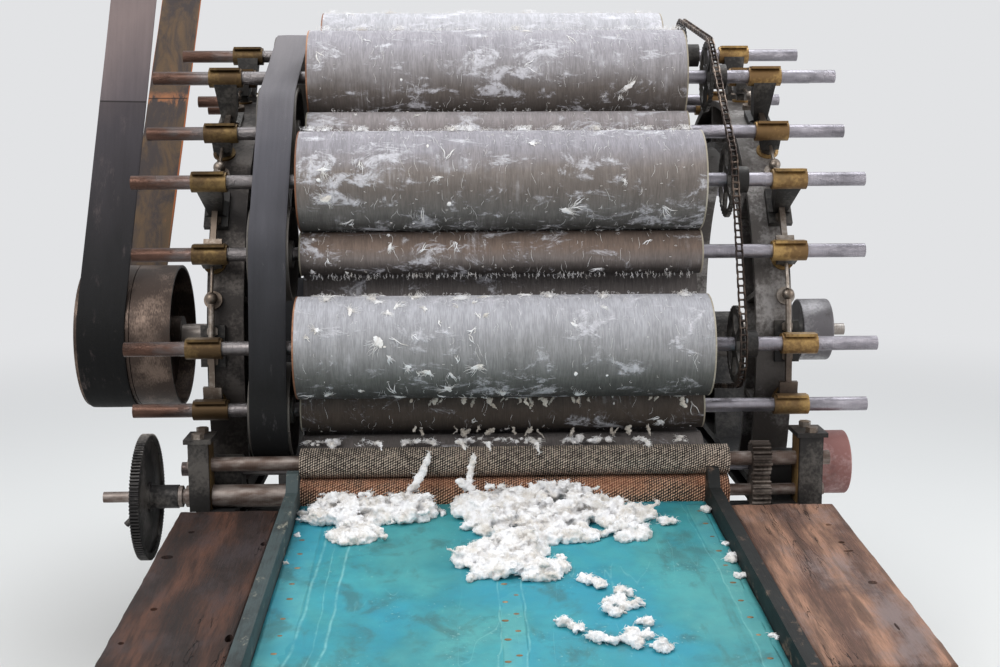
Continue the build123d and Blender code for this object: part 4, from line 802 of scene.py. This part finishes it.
# On each roller: loose hairs, standing wisps, knots and tufts with their length
fluff = {"worker_1": (160, 160, 16, 34, 0.034), "worker_2": (300, 420, 8, 16, 0.036),
         "worker_3": (260, 380, 6, 12, 0.034), "worker_4": (240, 460, 6, 10, 0.030),
         "worker_5": (120, 200, 4, 4, 0.016), "stripper_1": (90, 60, 6, 14, 0.024),
         "stripper_2": (140, 120, 6, 12, 0.020), "stripper_3": (90, 80, 4, 5, 0.018),
         "stripper_4": (70, 50, 4, 3, 0.014)}
for name, (hairs, wisps, nubs, tufts, length) in fluff.items():
    paths = [hair(name, between(*wool_span), clear_angle(name),
                  between(0.008, 0.030), between(0.0, 0.0015),
                  between(0.0008, 0.002)) for _ in range(hairs)]
    for place in range(wisps):
        angle = clear_angle(name, 0.9) if place % 2 else radians(chance.gauss(92, 10))
        paths.append(wisp(name, between(*wool_span), angle,
                          between(0.004, 0.012), between(0.001, 0.003)))
    for x, angle in bushes.get(name, ()):
        paths += bush(name, x, radians(angle), 44, 0.019)
    form = bmesh.new()
    for place in range(smears[name]):
        x = between(-0.43, 0.43)
        if name == "worker_1" and place % 2:
            x = between(-0.43, 0.0)
        long = length * between(0.35, 1.15)
        angle = clear_angle(name, 0.8)
        smear(form, name, x, angle, long * 0.8, long * between(0.18, 0.42), 0.0010 + long * 0.06)
        paths += tuft(name, x, angle, long * 0.9, 16) + tuft(name, x, angle, long * 0.7, 12)
    for x, angle in bushes.get(name, ()):
        smear(form, name, x, radians(angle), 0.020, 0.009, 0.005)
    keep(f"fibres_{name}", strand_mesh(paths, 0.0006), white_wool, name)
    knots = []
    for place in range(nubs + tufts):
        x = between(*wool_span)
        if name == "worker_1" and chance.random() < 0.6:
            x = between(-0.44, 0.02)
        angle = clear_angle(name, 0.7)
        if place < nubs:
            nub(form, name, x, angle, chance.choice((0.0014, 0.0018, 0.0022, 0.003)))
        else:
            knots += tuft(name, x, angle, length * between(0.4, 1.3), chance.randint(2, 5))
    keep(f"nubs_{name}", form, white_wool, name, 80)
    keep(f"tufts_{name}", strand_mesh(knots, 0.0019, 0.15), white_wool, name)


def lock(start, fall, length, curl, points):
    """A hanging curl of wool."""
    phase = between(0, tau)
    turns = between(1.0, 2.2)
    drift = Vector((between(-0.2, 0.2), between(-0.15, 0.15), 0))
    path = []
    for share in shares(points):
        swing = curl * (0.4 + 0.6 * share)
        path.append(start + (fall + drift) * length * share
                    + Vector((swing * sin(phase + turns * tau * share),
                              -abs(swing * cos(phase + turns * tau * share)) * 0.6, 0)))
    return path


def lumpy_line(form, points, size):
    """Lumps along a line through given points, thinner at both ends."""
    runs = [(last - first).length for first, last in zip(points, points[1:])]
    total, done = sum(runs), 0.0
    for first, last, run in zip(points, points[1:], runs):
        count = max(2, round(run / (size * 0.45)))
        for step in range(count):
            share = (done + run * step / count) / total
            spot = first.lerp(last, step / count)
            jog = Vector(noise.noise_vector(spot * 45)) * size * 0.55
            thick = size * (0.35 + 0.75 * sin(pi * min(share * 1.1, 1.0)) ** 0.7)
            lump(form, thick * between(0.8, 1.15), Matrix.Translation(spot + jog))
        done += run


def matted(name, form, finish, body, voxel, height, size, seed):
    """Join lumps into one fleece and roughen it."""
    piece = keep(name, form, finish, body, 180)
    even = piece.modifiers.new("even", "REMESH")
    even.mode = "VOXEL"
    even.voxel_size = voxel
    even.use_smooth_shade = True
    settle(piece)
    roughen(piece.data, height, size, seed)
    roughen(piece.data, height * 0.45, size * 0.33, seed + 3)
    return piece


# Locks that hang below the first worker and stripper
for name, aim, spots in (
        ("worker_1", -97, (-0.205, -0.155, -0.150, -0.140, -0.085, -0.060, -0.035, -0.025, 0.0,
                           0.010, 0.030, 0.050, 0.055, 0.075, 0.085, 0.115, 0.150, 0.165,
                           0.190, 0.330, 0.345, 0.400)),
        ("stripper_1", -128, (-0.200, -0.185, -0.110, -0.095, -0.080, -0.060, -0.020, 0.020,
                              0.055, 0.065, 0.080, 0.160, 0.250, 0.265, 0.290, 0.330))):
    locks = bmesh.new()
    for x in spots:
        spot = on_roller(name, x, radians(aim + between(-12, 10)), 0.001)
        points = [spot]
        drift = between(-0.7, 0.7)
        for _ in range(chance.randint(2, 5)):
            way = Vector((drift + between(-1.3, 1.3), between(-0.4, 0.1), -1))
            spot = spot + way * between(0.003, 0.007)
            points.append(spot)
        lumpy_line(locks, points, chance.choice((0.0018, 0.0024, 0.0032, 0.0052)))
    matted(f"locks_{name}", locks, cream_wool, name, 0.0013, 0.0030, 0.005, spots[0] * 40)
down = Vector((0, -0.15, -1.0))
fringe = [lock(on_roller("stripper_2", between(*wool_span), radians(-115 + between(-12, 12))),
               down, between(0.004, 0.014), 0.002, 6) for _ in range(220)]
keep("fringe_stripper_2", strand_mesh(fringe, 0.0009), white_wool, "stripper_2")

# Rims where the clothing ends on the rollers: steps outwards and up from its end
rim_profile = ((-0.002, 0.0004), (0.0008, 0.0004), (0.0016, -0.0006), (0.0016, -0.006),
               (0.0004, -0.0065), (-0.002, -0.0065))
for number in range(1, 6):
    for kind, left in (("worker", copper_edge), ("stripper", ivory_edge)):
        name = f"{kind}_{number}"
        centre, radius = roller_place[name]
        for side, finish, label in ((-1, left, "left"), (1, ivory_edge, "right")):
            rim = ring([(side * half_width + side * out, radius + up)
                        for out, up in rim_profile], centre)
            keep(f"{label}_edge_{name}", rim, finish, name)


# Wool on the feed apron

def ball(form, spot, size):
    """One soft lump of the heap."""
    stretch = Matrix.Diagonal((between(0.9, 1.7), between(0.8, 1.4), between(0.55, 0.95), 1))
    turn = Matrix.Rotation(between(0, tau), 4, "Z")
    lump(form, size, Matrix.Translation(spot) @ turn @ stretch, 2)


def above_apron(spot):
    """How far a point stands above the apron."""
    return ((spot.z - axis_height + table_drop) * cos(table_slope)
            - (spot.y - table_back) * sin(table_slope))


def curled_lock(form, spot, length, size):
    """A curled lock: small lumps along a winding line, thinner towards its tip."""
    heading, turn = between(0, tau), chance.choice((-1, 1)) * between(0.2, 0.7)
    rise = between(-0.25, 0.35)
    place = spot.copy()
    count = max(4, round(length / size))
    for step in range(count):
        share = step / (count - 1)
        matrix = (Matrix.Translation(place) @ Matrix.Rotation(heading, 4, "Z")
                  @ Matrix.Diagonal((1.3, 1.0, 0.85, 1)))
        lump(form, size * (1 - 0.5 * share), matrix)
        heading += turn * (0.6 + share)
        place += Vector((cos(heading), sin(heading), rise)) * size * 0.95
        low = size * 0.5 - above_apron(place)
        if low > 0:
            place.z += low


def wool_piece(name, form, voxel, height, size, hairs, seed):
    """Join lumps into one fleece, roughen it, flatten its underside and add loose fibre."""
    piece = matted(name, form, white_wool, "machine", voxel, height, size, seed)
    normal = Vector((0, -sin(table_slope), cos(table_slope)))
    for vertex in piece.data.vertices:
        low = 0.0022 - above_apron(vertex.co)
        if low > 0:
            vertex.co += normal * low
    spots = [vertex for vertex in piece.data.vertices
             if vertex.normal.z > 0.05 and above_apron(vertex.co) > 0.004]
    paths = []
    for vertex in chance.sample(spots, min(hairs, len(spots))):
        along = Vector((between(-1, 1), between(-1, 1), between(-0.3, 0.6)))
        side = along.cross(vertex.normal).normalized()
        length = between(0.008, 0.030)
        curl = between(0.0008, 0.0035)
        phase = between(0, tau)
        path = []
        for share in shares(7):
            spot = (vertex.co - vertex.normal * 0.001 + along * length * (share - 0.5)
                    + side * curl * sin(phase + share * 9)
                    + vertex.normal * (0.002 * sin(pi * share) + curl * 0.5
                                       * cos(phase + share * 9)))
            low = 0.0026 - above_apron(spot)
            path.append(spot + normal * max(low, 0.0))
        paths.append(path)
    keep(f"{name}_fibres", strand_mesh(paths, 0.0009), white_wool, "machine")
    return piece


def pour(form, part):
    """Add one form to another."""
    shape = mesh_of(part)
    form.from_mesh(shape)
    bpy.data.meshes.remove(shape)


heap = bmesh.new()
clumps = ((-330, 75, 105, 75, 0.055, 110), (-215, 60, 70, 60, 0.045, 60),
          (-315, 190, 55, 45, 0.030, 34), (-10, 60, 110, 75, 0.060, 110),
          (110, 50, 90, 70, 0.070, 90), (200, 90, 70, 70, 0.050, 56),
          (40, 150, 130, 60, 0.045, 80), (0, 290, 70, 60, 0.050, 60),
          (20, 390, 95, 55, 0.035, 60), (-85, 330, 30, 40, 0.030, 16),
          (250, 180, 40, 60, 0.035, 22), (280, 90, 30, 40, 0.030, 12),
          (150, 215, 45, 20, 0.025, 14), (60, 215, 90, 40, 0.030, 30))
for x, s, half_x, half_s, top, count in clumps:
    clump = bmesh.new()
    for _ in range(count // 2):
        reach, turn = between(0.35, 1.02), between(0, tau)
        lift = top * (1 - 0.75 * reach * reach) * between(0.7, 1.05)
        curled_lock(clump, on_table((x + half_x * reach * cos(turn)) / 1000,
                                    max(s + half_s * reach * sin(turn), 6) / 1000, lift),
                    between(0.022, 0.050), between(0.0045, 0.0085))
    for _ in range(count):
        reach, turn = sqrt(chance.random()) * 0.92, between(0, tau)
        size = between(0.008, 0.018)
        dome = top * (1 - 0.7 * reach * reach)
        lift = max(between(0.25, 1.0) * dome - size * 0.6, size * 0.45)
        ball(clump, on_table((x + half_x * reach * cos(turn)) / 1000,
                             max(s + half_s * reach * sin(turn), 6) / 1000, lift), size)
    pour(heap, clump)
for points in (((-0.166, -0.826, 0.676), (-0.176, -0.842, 0.650), (-0.196, -0.860, 0.618),
                (-0.222, -0.874, 0.592)),
               ((-0.070, -0.828, 0.668), (-0.074, -0.842, 0.642), (-0.082, -0.856, 0.614),
                (-0.088, -0.872, 0.594)),
               ((-0.112, -0.862, 0.622), (-0.090, -0.866, 0.612), (-0.066, -0.872, 0.596))):
    lumpy_line(heap, [Vector(point) for point in points], 0.0088)
heap_piece = wool_piece("wool_heap", heap, 0.0032, 0.0058, 0.013, 3000, 1.0)
tufts = bmesh.new()
for x, s in ((135, 450), (160, 470), (190, 500), (185, 545), (175, 590), (215, 560), (80, 640),
             (105, 660), (130, 700), (160, 715), (190, 730), (205, 690), (225, 640), (240, 740),
             (336, 139), (-90, 300), (-60, 420)):
    curled_lock(tufts, on_table(x / 1000, s / 1000, 0.006), 0.032, 0.0062)
    for _ in range(4):
        size = between(0.006, 0.011)
        ball(tufts, on_table((x + chance.gauss(0, 9)) / 1000, (s + chance.gauss(0, 9)) / 1000,
                             size * between(0.6, 1.3)), size)
wool_piece("wool_tufts", tufts, 0.0026, 0.005, 0.009, 420, 5.0)
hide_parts("wool")
bits = bmesh.new()
for x, s, size in ((437, 264, 5), (436, 337, 9), (440, 350, 8), (430, 434, 7), (436, 701, 5),
                   (-440, 60, 8), (432, 60, 9), (-436, 180, 5), (-442, 330, 4)):
    for _ in range(3):
        ball(bits, on_table((x + chance.gauss(0, size * 0.5)) / 1000,
                            (s + chance.gauss(0, size * 0.6)) / 1000, size / 1000 * 0.8),
             size / 1000)
wool_piece("wool_bits", bits, 0.0022, 0.003, 0.006, 60, 8.0)

# Loose wool caught above the nip of the feed rollers and hanging over the upper one
row = bmesh.new()
for x, width, size in ((-0.425, 0.030, 5), (-0.380, 0.018, 7), (-0.210, 0.018, 6),
                       (-0.165, 0.030, 5), (-0.080, 0.020, 5), (0.055, 0.045, 5),
                       (0.150, 0.022, 5), (0.215, 0.042, 10), (0.312, 0.014, 5),
                       (0.392, 0.018, 4), (-0.300, 0.030, 3), (0.010, 0.030, 4)):
    for _ in range(10):
        thick = size / 1000 * between(0.5, 1.0)
        ball(row, Vector((x + chance.gauss(0, width * 0.5),
                          between(-0.762, -0.738), between(0.678, 0.688))), thick)
for x, reach, low in ((-0.290, 20, 112), (-0.110, 24, 120), (-0.046, 14, 118), (0.060, 16, 132),
                      (0.310, 10, 112), (-0.385, 6, 104)):
    points = [Vector((x + reach / 1000 * share, feed_y + feed_radius * cos(radians(angle)),
                      upper_feed_z + feed_radius * sin(radians(angle))))
              for share, angle in ((0.0, 74), (0.35, 90), (0.7, (90 + low) / 2), (1.0, low + 18))]
    lumpy_line(row, points, 0.0042)
wool_piece("nip_wool", row, 0.0022, 0.0030, 0.008, 500, 12.0)


# Feed apron: a canvas loop round the two table rollers, with riveted strips

radius_gain = apron_front_radius - apron_back_radius
front_turn = pi + 2 * asin(radius_gain / hypot(table_length, radius_gain))
front_arc = apron_front_radius * front_turn
apron_loop = 2 * table_length + front_arc + apron_back_radius * (tau - front_turn)


def apron_spot(x, run, lift):
    """Point at a run along the canvas loop, from the back of its top side."""
    if run < table_length:
        return on_table(x, run, lift)
    run -= table_length
    if run < front_arc:
        angle = pi / 2 - run / apron_front_radius
        reach = apron_front_radius + lift
        return on_table(x, table_length + reach * cos(angle),
                        -apron_front_radius + reach * sin(angle))
    run -= front_arc
    angle = pi / 2 - front_turn
    if run < table_length:
        share = run / table_length
        radius = apron_front_radius * (1 - share) + apron_back_radius * share
        return on_table(x, table_length * (1 - share) + (radius + lift) * cos(angle),
                        (radius + lift) * sin(angle) - radius)
    angle -= (run - table_length) / apron_back_radius
    reach = apron_back_radius + lift
    return on_table(x, reach * cos(angle), -apron_back_radius + reach * sin(angle))


apron_width = apron_edges[1] - apron_edges[0]
cloth = bmesh.new()
bmesh.ops.create_grid(cloth, x_segments=110, y_segments=330, size=0.5)
for vertex in cloth.verts:
    across, run = vertex.co.x + 0.5, (vertex.co.y + 0.5) * apron_loop
    x = apron_edges[0] + apron_width * across
    edge = 0.0015 * noise.noise(Vector((across * 3, run * 9, 2.0)))
    ripple = (0.0011 * noise.fractal(Vector((x * 9, run * 3.2, 0.3)), 0.8, 2.0, 3)
              + 0.0012 * max(0.0, 1 - abs(x + 0.330 - 0.05 * sin(run * 5)) / 0.016)
              * (0.4 + 0.6 * noise.noise(Vector((1, run * 7, 4)))))
    fade = min(1.0, min(run % apron_loop, apron_loop - run) / 0.02)
    vertex.co = apron_spot(x + edge, run % apron_loop, ripple * fade - 0.0006)
bmesh.ops.remove_doubles(cloth, verts=cloth.verts, dist=0.0002)
apron_cloth = keep("apron_canvas", cloth, teal_canvas, "machine", 60)
thicken(apron_cloth, 0.0024)
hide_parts("feed_apron")

tacks = bmesh.new()


def apron_frame(x, s, h):
    """Matrix of a place on the apron, in millimetres across and down it."""
    return (Matrix.Translation(on_table(x / 1000, s / 1000, h))
            @ Matrix.Rotation(-table_slope, 4, "X"))


def tack(x, s):
    """A flat rivet head, a low dome."""
    size = between(0.0044, 0.0056)
    place = apron_frame(x, s, 0.0019) @ Matrix.Diagonal((1.25, 1, 0.28, 1))
    bmesh.ops.create_uvsphere(tacks, u_segments=12, v_segments=6, radius=size, matrix=place)


strip_length = table_length - 2 * strip_inset
strips = {"left": (-0.418, 0.060), "middle": (-0.010, 0.044), "right": (0.413, 0.034)}
strip_rivets = {"left": ((-425, 204), (-421, 281), (-418, 355), (-420, 434), (-416, 505),
                         (-418, 593), (-415, 664), (-417, 735), (-418, 812), (-419, 890)),
                "middle": ((-24, 60), (-2, 130), (-21, 205), (-3, 290), (-22, 370), (-19, 449),
                           (1, 502), (-20, 533), (-2, 587), (-23, 615), (-2, 659), (-21, 693),
                           (-4, 756), (-24, 779), (-3, 850), (-22, 905)),
                "right": ((418, 60), (418, 138), (418, 215), (417, 295), (416, 371), (414, 458),
                          (412, 542), (414, 616), (413, 690), (413, 782), (413, 870))}
for label, (centre_x, width) in strips.items():
    form = bmesh.new()
    bmesh.ops.create_grid(form, x_segments=12, y_segments=180, size=0.5)
    for vertex in form.verts:
        s = strip_inset + (vertex.co.y + 0.5) * strip_length
        side = vertex.co.x * 2
        fray = 0.0022 * noise.noise(Vector((side * 2, s * 16, centre_x * 30)))
        wave = 0.0005 * noise.noise(Vector((side, s * 30, centre_x * 9)))
        rim = 0.0004 * abs(side) ** 4
        vertex.co = on_table(centre_x + side * width / 2 + side * fray, s, 0.0013 + wave - rim)
    strip = keep(f"{label}_strip", form, strip_canvas, "machine", 60)
    thicken(strip, 0.0011)
    for x, s in strip_rivets[label]:
        tack(x, s)
keep("strip_rivets", tacks, rust_brown, "machine")


# Timbers beside the table

def plank(label, finish, holes):
    """Old thick plank with rounded, worn edges and bolt holes."""
    low, high = timber_edges[label]
    outer = low if label == "left" else high
    start, end = timber_ends
    form = bmesh.new()
    bmesh.ops.create_cube(form, size=1.0)
    for vertex in form.verts:
        vertex.co = Vector(((low + high) / 2 + vertex.co.x * (high - low),
                            (start + end) / 2 - vertex.co.y * (end - start),
                            (vertex.co.z - 0.5) * timber_thickness))
    corner = [edge for edge in form.edges
              if all(abs(v.co.x - outer) < 0.001 and v.co.y > end - 0.001 for v in edge.verts)]
    bmesh.ops.bevel(form, geom=corner, offset=0.034, segments=7, profile=0.5,
                    affect="EDGES", material=-1)
    top = [edge for edge in form.edges if all(v.co.z > -0.001 for v in edge.verts)]
    bmesh.ops.bevel(form, geom=top, offset=0.005, segments=3, profile=0.6, affect="EDGES",
                    material=-1)
    cuts = [((0, 1, 0), start + place * timber_step) for place in range(1, 66)]
    cuts += [((1, 0, 0), low + place * timber_step) for place in range(1, 19)]
    cuts += [((0, 0, 1), -timber_thickness * place) for place in (0.2, 0.4, 0.6, 0.8)]
    for normal, place in cuts:
        bmesh.ops.bisect_plane(form, geom=form.verts[:] + form.edges[:] + form.faces[:],
                               dist=0.00001, plane_co=Vector(normal) * place, plane_no=normal)
    form.normal_update()
    for vertex in form.verts:
        x, s, h = vertex.co
        worn = 0.0011 * (noise.fractal(Vector((x * 26, s * 6, h * 26)), 0.9, 2.0, 4) - 0.9)
        near_top = max(0.0, 1 - abs(h) / 0.012)
        rim = max(0.0, 1 - min(abs(x - low), abs(x - high), abs(s - start), abs(s - end)) / 0.010)
        chip = 0.0035 * near_top * rim * max(0.0, noise.noise(Vector((x * 30, s * 22, 1))))
        vertex.co += vertex.normal * (min(worn, 0.0) - chip)
    for vertex in form.verts:
        vertex.co = on_table(*vertex.co)
    piece = keep(f"{label}_timber", close_up(form), finish, "machine", 40)
    drill = bmesh.new()
    for x, s, wide, long in holes:
        place = apron_frame(x, s, 0) @ Matrix.Diagonal((wide, long, 1, 1))
        bmesh.ops.create_cone(drill, cap_ends=True, segments=16, radius1=0.006, radius2=0.0075,
                              depth=0.050, matrix=place)
    tool = add("drill", mesh_of(drill))
    cut = piece.modifiers.new("holes", "BOOLEAN")
    cut.operation = "DIFFERENCE"
    cut.object = tool
    cut.solver = "EXACT"
    settle(piece)
    bpy.data.objects.remove(tool)
    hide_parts(f"timber_{label}")


plank("left", left_wood, ((-660, 147, 1, 1), (-683, 286, 1.8, 1.5), (-657, 540, 1, 1),
                          (-684, 681, 0.8, 0.8), (-501, 221, 0.9, 1.6), (-502, 669, 1.0, 2.4)))
plank("right", right_wood, ((676, 153, 1, 1), (676, 254, 1, 1), (678, 465, 1.3, 1.3),
                            (663, 664, 0.4, 2.2), (677, 302, 1.6, 0.6)))


# Chain: inner links with bushes, outer plates with riveted pins

def chain_link(outer):
    """Mesh of one link lying along Y about the origin."""
    form = bmesh.new()
    half = chain_pitch / 2
    walls = ((0.0061, 0.0079),) if outer else ((0.0051, 0.0069), (-0.0069, -0.0051))
    for near, far in walls:
        outline = []
        for end in (1, -1):
            for step in range(6):
                angle = -pi / 2 + pi * step / 5
                outline.append((end * (half + plate_height / 2 * cos(angle)),
                                end * plate_height / 2 * sin(angle)))
        lower = [form.verts.new((near, y, z)) for y, z in outline]
        face = form.faces.new(lower)
        raised = bmesh.ops.extrude_face_region(form, geom=[face])
        verts = [item for item in raised["geom"] if isinstance(item, bmesh.types.BMVert)]
        bmesh.ops.translate(form, vec=(far - near, 0, 0), verts=verts)
    sides, base, tip, depth, x = ((7, 0.0022, 0.0014, 0.0010, 0.0083) if outer
                                  else (8, 0.0024, 0.0024, 0.0106, 0.0))
    for end in (-1, 1):
        place = Matrix.Translation((x, end * half, 0)) @ Matrix.Rotation(pi / 2, 4, "Y")
        bmesh.ops.create_cone(form, cap_ends=outer, segments=sides, radius1=base,
                              radius2=tip, depth=depth, matrix=place)
    bmesh.ops.recalc_face_normals(form, faces=form.faces)
    return mesh_of(form)


def joined_form(node):
    """A CAD node's form with its doubled points joined."""
    form = bmesh.new()
    form.from_mesh(nodes[node].data)
    bmesh.ops.remove_doubles(form, verts=form.verts, dist=0.00001)
    return form


def loose_parts(node):
    """Points of each separate solid of a CAD node."""
    form = joined_form(node)
    left = dict.fromkeys(form.verts)
    while left:
        part, edge = [], [left.popitem()[0]]
        while edge:
            vertex = edge.pop()
            part.append(vertex.co.copy())
            for link in vertex.link_edges:
                other = link.other_vert(vertex)
                if other in left:
                    del left[other]
                    edge.append(other)
        yield part
    form.free()


inner_link, outer_link = chain_link(False), chain_link(True)
chain_form = bmesh.new()
for part in loose_parts("worker_chain"):
    low, high = (tuple(map(end, zip(*part))) for end in (min, max))
    x, y, z = ((first + last) / 2 for first, last in zip(low, high))
    spread_y = sum((spot.y - y) ** 2 for spot in part)
    spread_z = sum((spot.z - z) ** 2 for spot in part)
    both = sum((spot.y - y) * (spot.z - z) for spot in part)
    angle = atan2(2 * both, spread_y - spread_z) / 2
    outer = high[0] - low[0] < 0.006
    hand = -1 if outer and x < chain_plane else 1
    copy = (outer_link if outer else inner_link).copy()
    copy.transform(Matrix.Translation((chain_plane, y, z)) @ Matrix.Rotation(angle, 4, "X")
                   @ Matrix.Diagonal((hand, 1, 1, 1)))
    if hand < 0:
        copy.flip_normals()
    chain_form.from_mesh(copy)
    bpy.data.meshes.remove(copy)
chain_piece = keep("chain_links", chain_form, chain_steel, "machine", 30)
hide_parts("worker_chain")


# Flat belts

def belt_loop(node):
    """The outer line of a flat belt's solid, as points of Y and Z in order."""
    form = joined_form(node)
    side_x = min(vertex.co.x for vertex in form.verts)
    form.normal_update()
    edges = {}
    for edge in form.edges:
        if len(edge.link_faces) != 2 or abs(edge.verts[0].co.x - edge.verts[1].co.x) > 0.0001:
            continue
        flat = [abs(face.normal.x) > 0.9 for face in edge.link_faces]
        if flat[0] != flat[1] and (edge.verts[0].co.x - side_x) ** 2 < 1e-7:
            for vertex in edge.verts:
                edges.setdefault(vertex, []).append(edge)
    loops = []
    left = dict.fromkeys(edges)
    while left:
        line = [left.popitem()[0]]
        while True:
            ahead = [other for other in (edge.other_vert(line[-1]) for edge in edges[line[-1]])
                     if other in left]
            if not ahead:
                break
            del left[ahead[0]]
            line.append(ahead[0])
        loops.append([Vector((vertex.co.y, vertex.co.z)) for vertex in line])
    form.free()
    return max(loops, key=lambda line: sum((line[i] - line[i - 1]).length
                                           for i in range(len(line))))


def even_points(line, step):
    """Points at equal steps along a closed line."""
    closed = line + line[:1]
    runs = [(closed[i + 1] - closed[i]).length for i in range(len(line))]
    count = round(sum(runs) / step)
    gap, place, here, out = sum(runs) / count, 0, 0.0, []
    for number in range(count):
        goal = number * gap
        while here + runs[place] < goal:
            here += runs[place]
            place += 1
        out.append(closed[place].lerp(closed[place + 1], (goal - here) / runs[place]))
    return out


def belt_band(path, offset, width, across, sway, closed):
    """A strip of faces along a path of places and outward directions."""
    form = bmesh.new()
    rows = []
    for spot, out in path:
        row = []
        for step in range(across + 1):
            share = step / across * 2 - 1
            cup = 0.0006 * (1 - share * share)
            wave = sway * noise.noise(Vector((share * 1.5, spot.y * 6, spot.z * 6)))
            row.append(form.verts.new(spot + Vector((share * width / 2 + wave * 0.8, 0, 0))
                                      + out * (offset + cup + wave * 0.3)))
        rows.append(row)
    for place in range(0 if closed else 1, len(rows)):
        for step in range(across):
            form.faces.new((rows[place - 1][step], rows[place][step], rows[place][step + 1],
                            rows[place - 1][step + 1]))
    return form


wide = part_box("stripper_belt")
belt_line = even_points(belt_loop("stripper_belt"), 0.011)
turning = sum(belt_line[i - 1].x * belt_line[i].y - belt_line[i].x * belt_line[i - 1].y
              for i in range(len(belt_line)))
path = []
for place in range(len(belt_line)):
    ahead = belt_line[(place + 1) % len(belt_line)] - belt_line[place - 1]
    out = Vector((0, ahead.y, -ahead.x)).normalized() * (1 if turning > 0 else -1)
    path.append((Vector(((wide[0].x + wide[1].x) / 2, *belt_line[place])), out))
form = belt_band(path, -0.0008, wide[1].x - wide[0].x - 0.001, 12, 0.0009, True)
bmesh.ops.recalc_face_normals(form, faces=form.faces)
flat_belt = keep("stripper_belt_run", form, belt_leather, "machine", 50)
thicken(flat_belt, 0.0038, 0.0008)
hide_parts("stripper_belt")

run = []
for end, (lean_x, lean_y) in zip((-1, 1), drive_leans):
    slant = atan2(lean_y, 1)
    touch = Vector((0, end * cos(slant), -end * sin(slant)))
    foot = Vector((drive_plane, 0, axis_height)) + touch * drive_middle
    climb = drive_top - foot.z
    leg = []
    for step in range(1, 73):
        spot = foot + Vector((lean_x, lean_y, 1)) * climb * step / 72
        lap = 0.0008 if end < 0 and spot.z > near_joint else 0.0
        leg.append((spot + touch * lap, touch))
    run.append(leg)
turn_from, turn_to = pi - atan2(drive_leans[0][1], 1), tau - atan2(drive_leans[1][1], 1)
wrap = []
for step in range(61):
    angle = turn_from + (turn_to - turn_from) * step / 60
    out = Vector((0, cos(angle), sin(angle)))
    wrap.append((Vector((drive_plane, 0, axis_height)) + out * drive_middle, out))
path = run[0][::-1] + wrap + run[1]
form = belt_band(path, 0.0018, drive_width, 18, 0.0011, False)
form.normal_update()
form.faces.ensure_lookup_table()
if form.faces[0].normal.y > 0:
    bmesh.ops.reverse_faces(form, faces=form.faces)
drive_run = keep("drive_belt_run", form, drive_leather, "machine", 50)
thicken(drive_run, 0.0050, 0.0009)
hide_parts("main_drive_belt")


# Floor, light and camera

backdrop = tone((226, 227, 229))
floor_mesh = bmesh.new()
bmesh.ops.create_grid(floor_mesh, x_segments=1, y_segments=1, size=30)
floor = add("floor", mesh_of(floor_mesh))
pale = Finish("pale floor", Base_Color=(0.78, 0.78, 0.77, 1), Roughness=0.9,
              Specular_IOR_Level=0.1)
x, y, z = pale.axes()
away = (x * x + y * y).root().step(2.2, 6.0)
glow = pale.node("ShaderNodeEmission", None, {"Color": backdrop, "Strength": 1.0})
blended = pale.node("ShaderNodeMixShader", None,
                    {0: away, 1: Value(pale, pale.shader.outputs[0]), 2: glow})
pale.tree.links.new(blended.socket, pale.tree.nodes["Material Output"].inputs["Surface"])
floor.data.materials.append(pale.material)

world = bpy.data.worlds.new("soft studio")
scene.world = world
world.use_nodes = True
light = world.node_tree.nodes["Background"]
light.inputs["Color"].default_value = (0.86, 0.89, 0.93, 1)
light.inputs["Strength"].default_value = 0.62
new_node, link = world.node_tree.nodes.new, world.node_tree.links.new
seen = new_node("ShaderNodeBackground")
seen.inputs["Color"].default_value = backdrop
either = new_node("ShaderNodeMixShader")
ray = new_node("ShaderNodeLightPath")
share = ray.outputs["Is Camera Ray"]
for kind in ("Is Glossy Ray", "Is Transmission Ray"):
    both = new_node("ShaderNodeMath")
    both.operation = "MAXIMUM"
    link(share, both.inputs[0])
    link(ray.outputs[kind], both.inputs[1])
    share = both.outputs[0]
for place, output in enumerate((share, light.outputs[0], seen.outputs[0])):
    link(output, either.inputs[place])
link(either.outputs[0], world.node_tree.nodes["World Output"].inputs[0])


def lamp(name, place, target, size, power, colour):
    """Soft square light looking at a point."""
    data = bpy.data.lights.new(name, "AREA")
    data.size = size
    data.energy = power
    data.color = colour
    light = add(name, data)
    light.location = place
    light.rotation_euler = (Vector(target) - Vector(place)).to_track_quat("-Z", "Y").to_euler()


lamp("key", (-2.6, -3.2, 3.8), (0, -0.4, 0.9), 2.6, 120, (1.0, 0.98, 0.95))
lamp("top", (0.4, 0.6, 4.4), (0, 0, 0.8), 3.0, 110, (0.95, 0.98, 1.0))
lamp("right", (3.4, -2.0, 2.2), (0, -0.3, 0.9), 2.4, 55, (1.0, 0.97, 0.94))

# The camera, as fitted to the photo: its place, its turn, and its lens in pixels
camera_place = (-0.1062, -3.8551, 1.3963)
pitch, yaw, roll = radians(8.5625), radians(1.8207), radians(-0.2381)
lens_pixels, picture_pixels = 1408.0, 1000
ahead = Vector((sin(yaw) * cos(pitch), cos(yaw) * cos(pitch), -sin(pitch)))
level = Vector((cos(yaw), -sin(yaw), 0))
upward = level.cross(ahead)
right = level * cos(roll) + upward * sin(roll)
upward = upward * cos(roll) - level * sin(roll)
eye = bpy.data.cameras.new("eye")
eye.sensor_width = 36
eye.lens = lens_pixels / picture_pixels * eye.sensor_width
eye.clip_end = 100
camera = add("camera", eye)
camera.matrix_world = (Matrix.Translation(camera_place)
                       @ Matrix((right, upward, -ahead)).transposed().to_4x4())
scene.camera = camera
scene.view_settings.view_transform = "Standard"
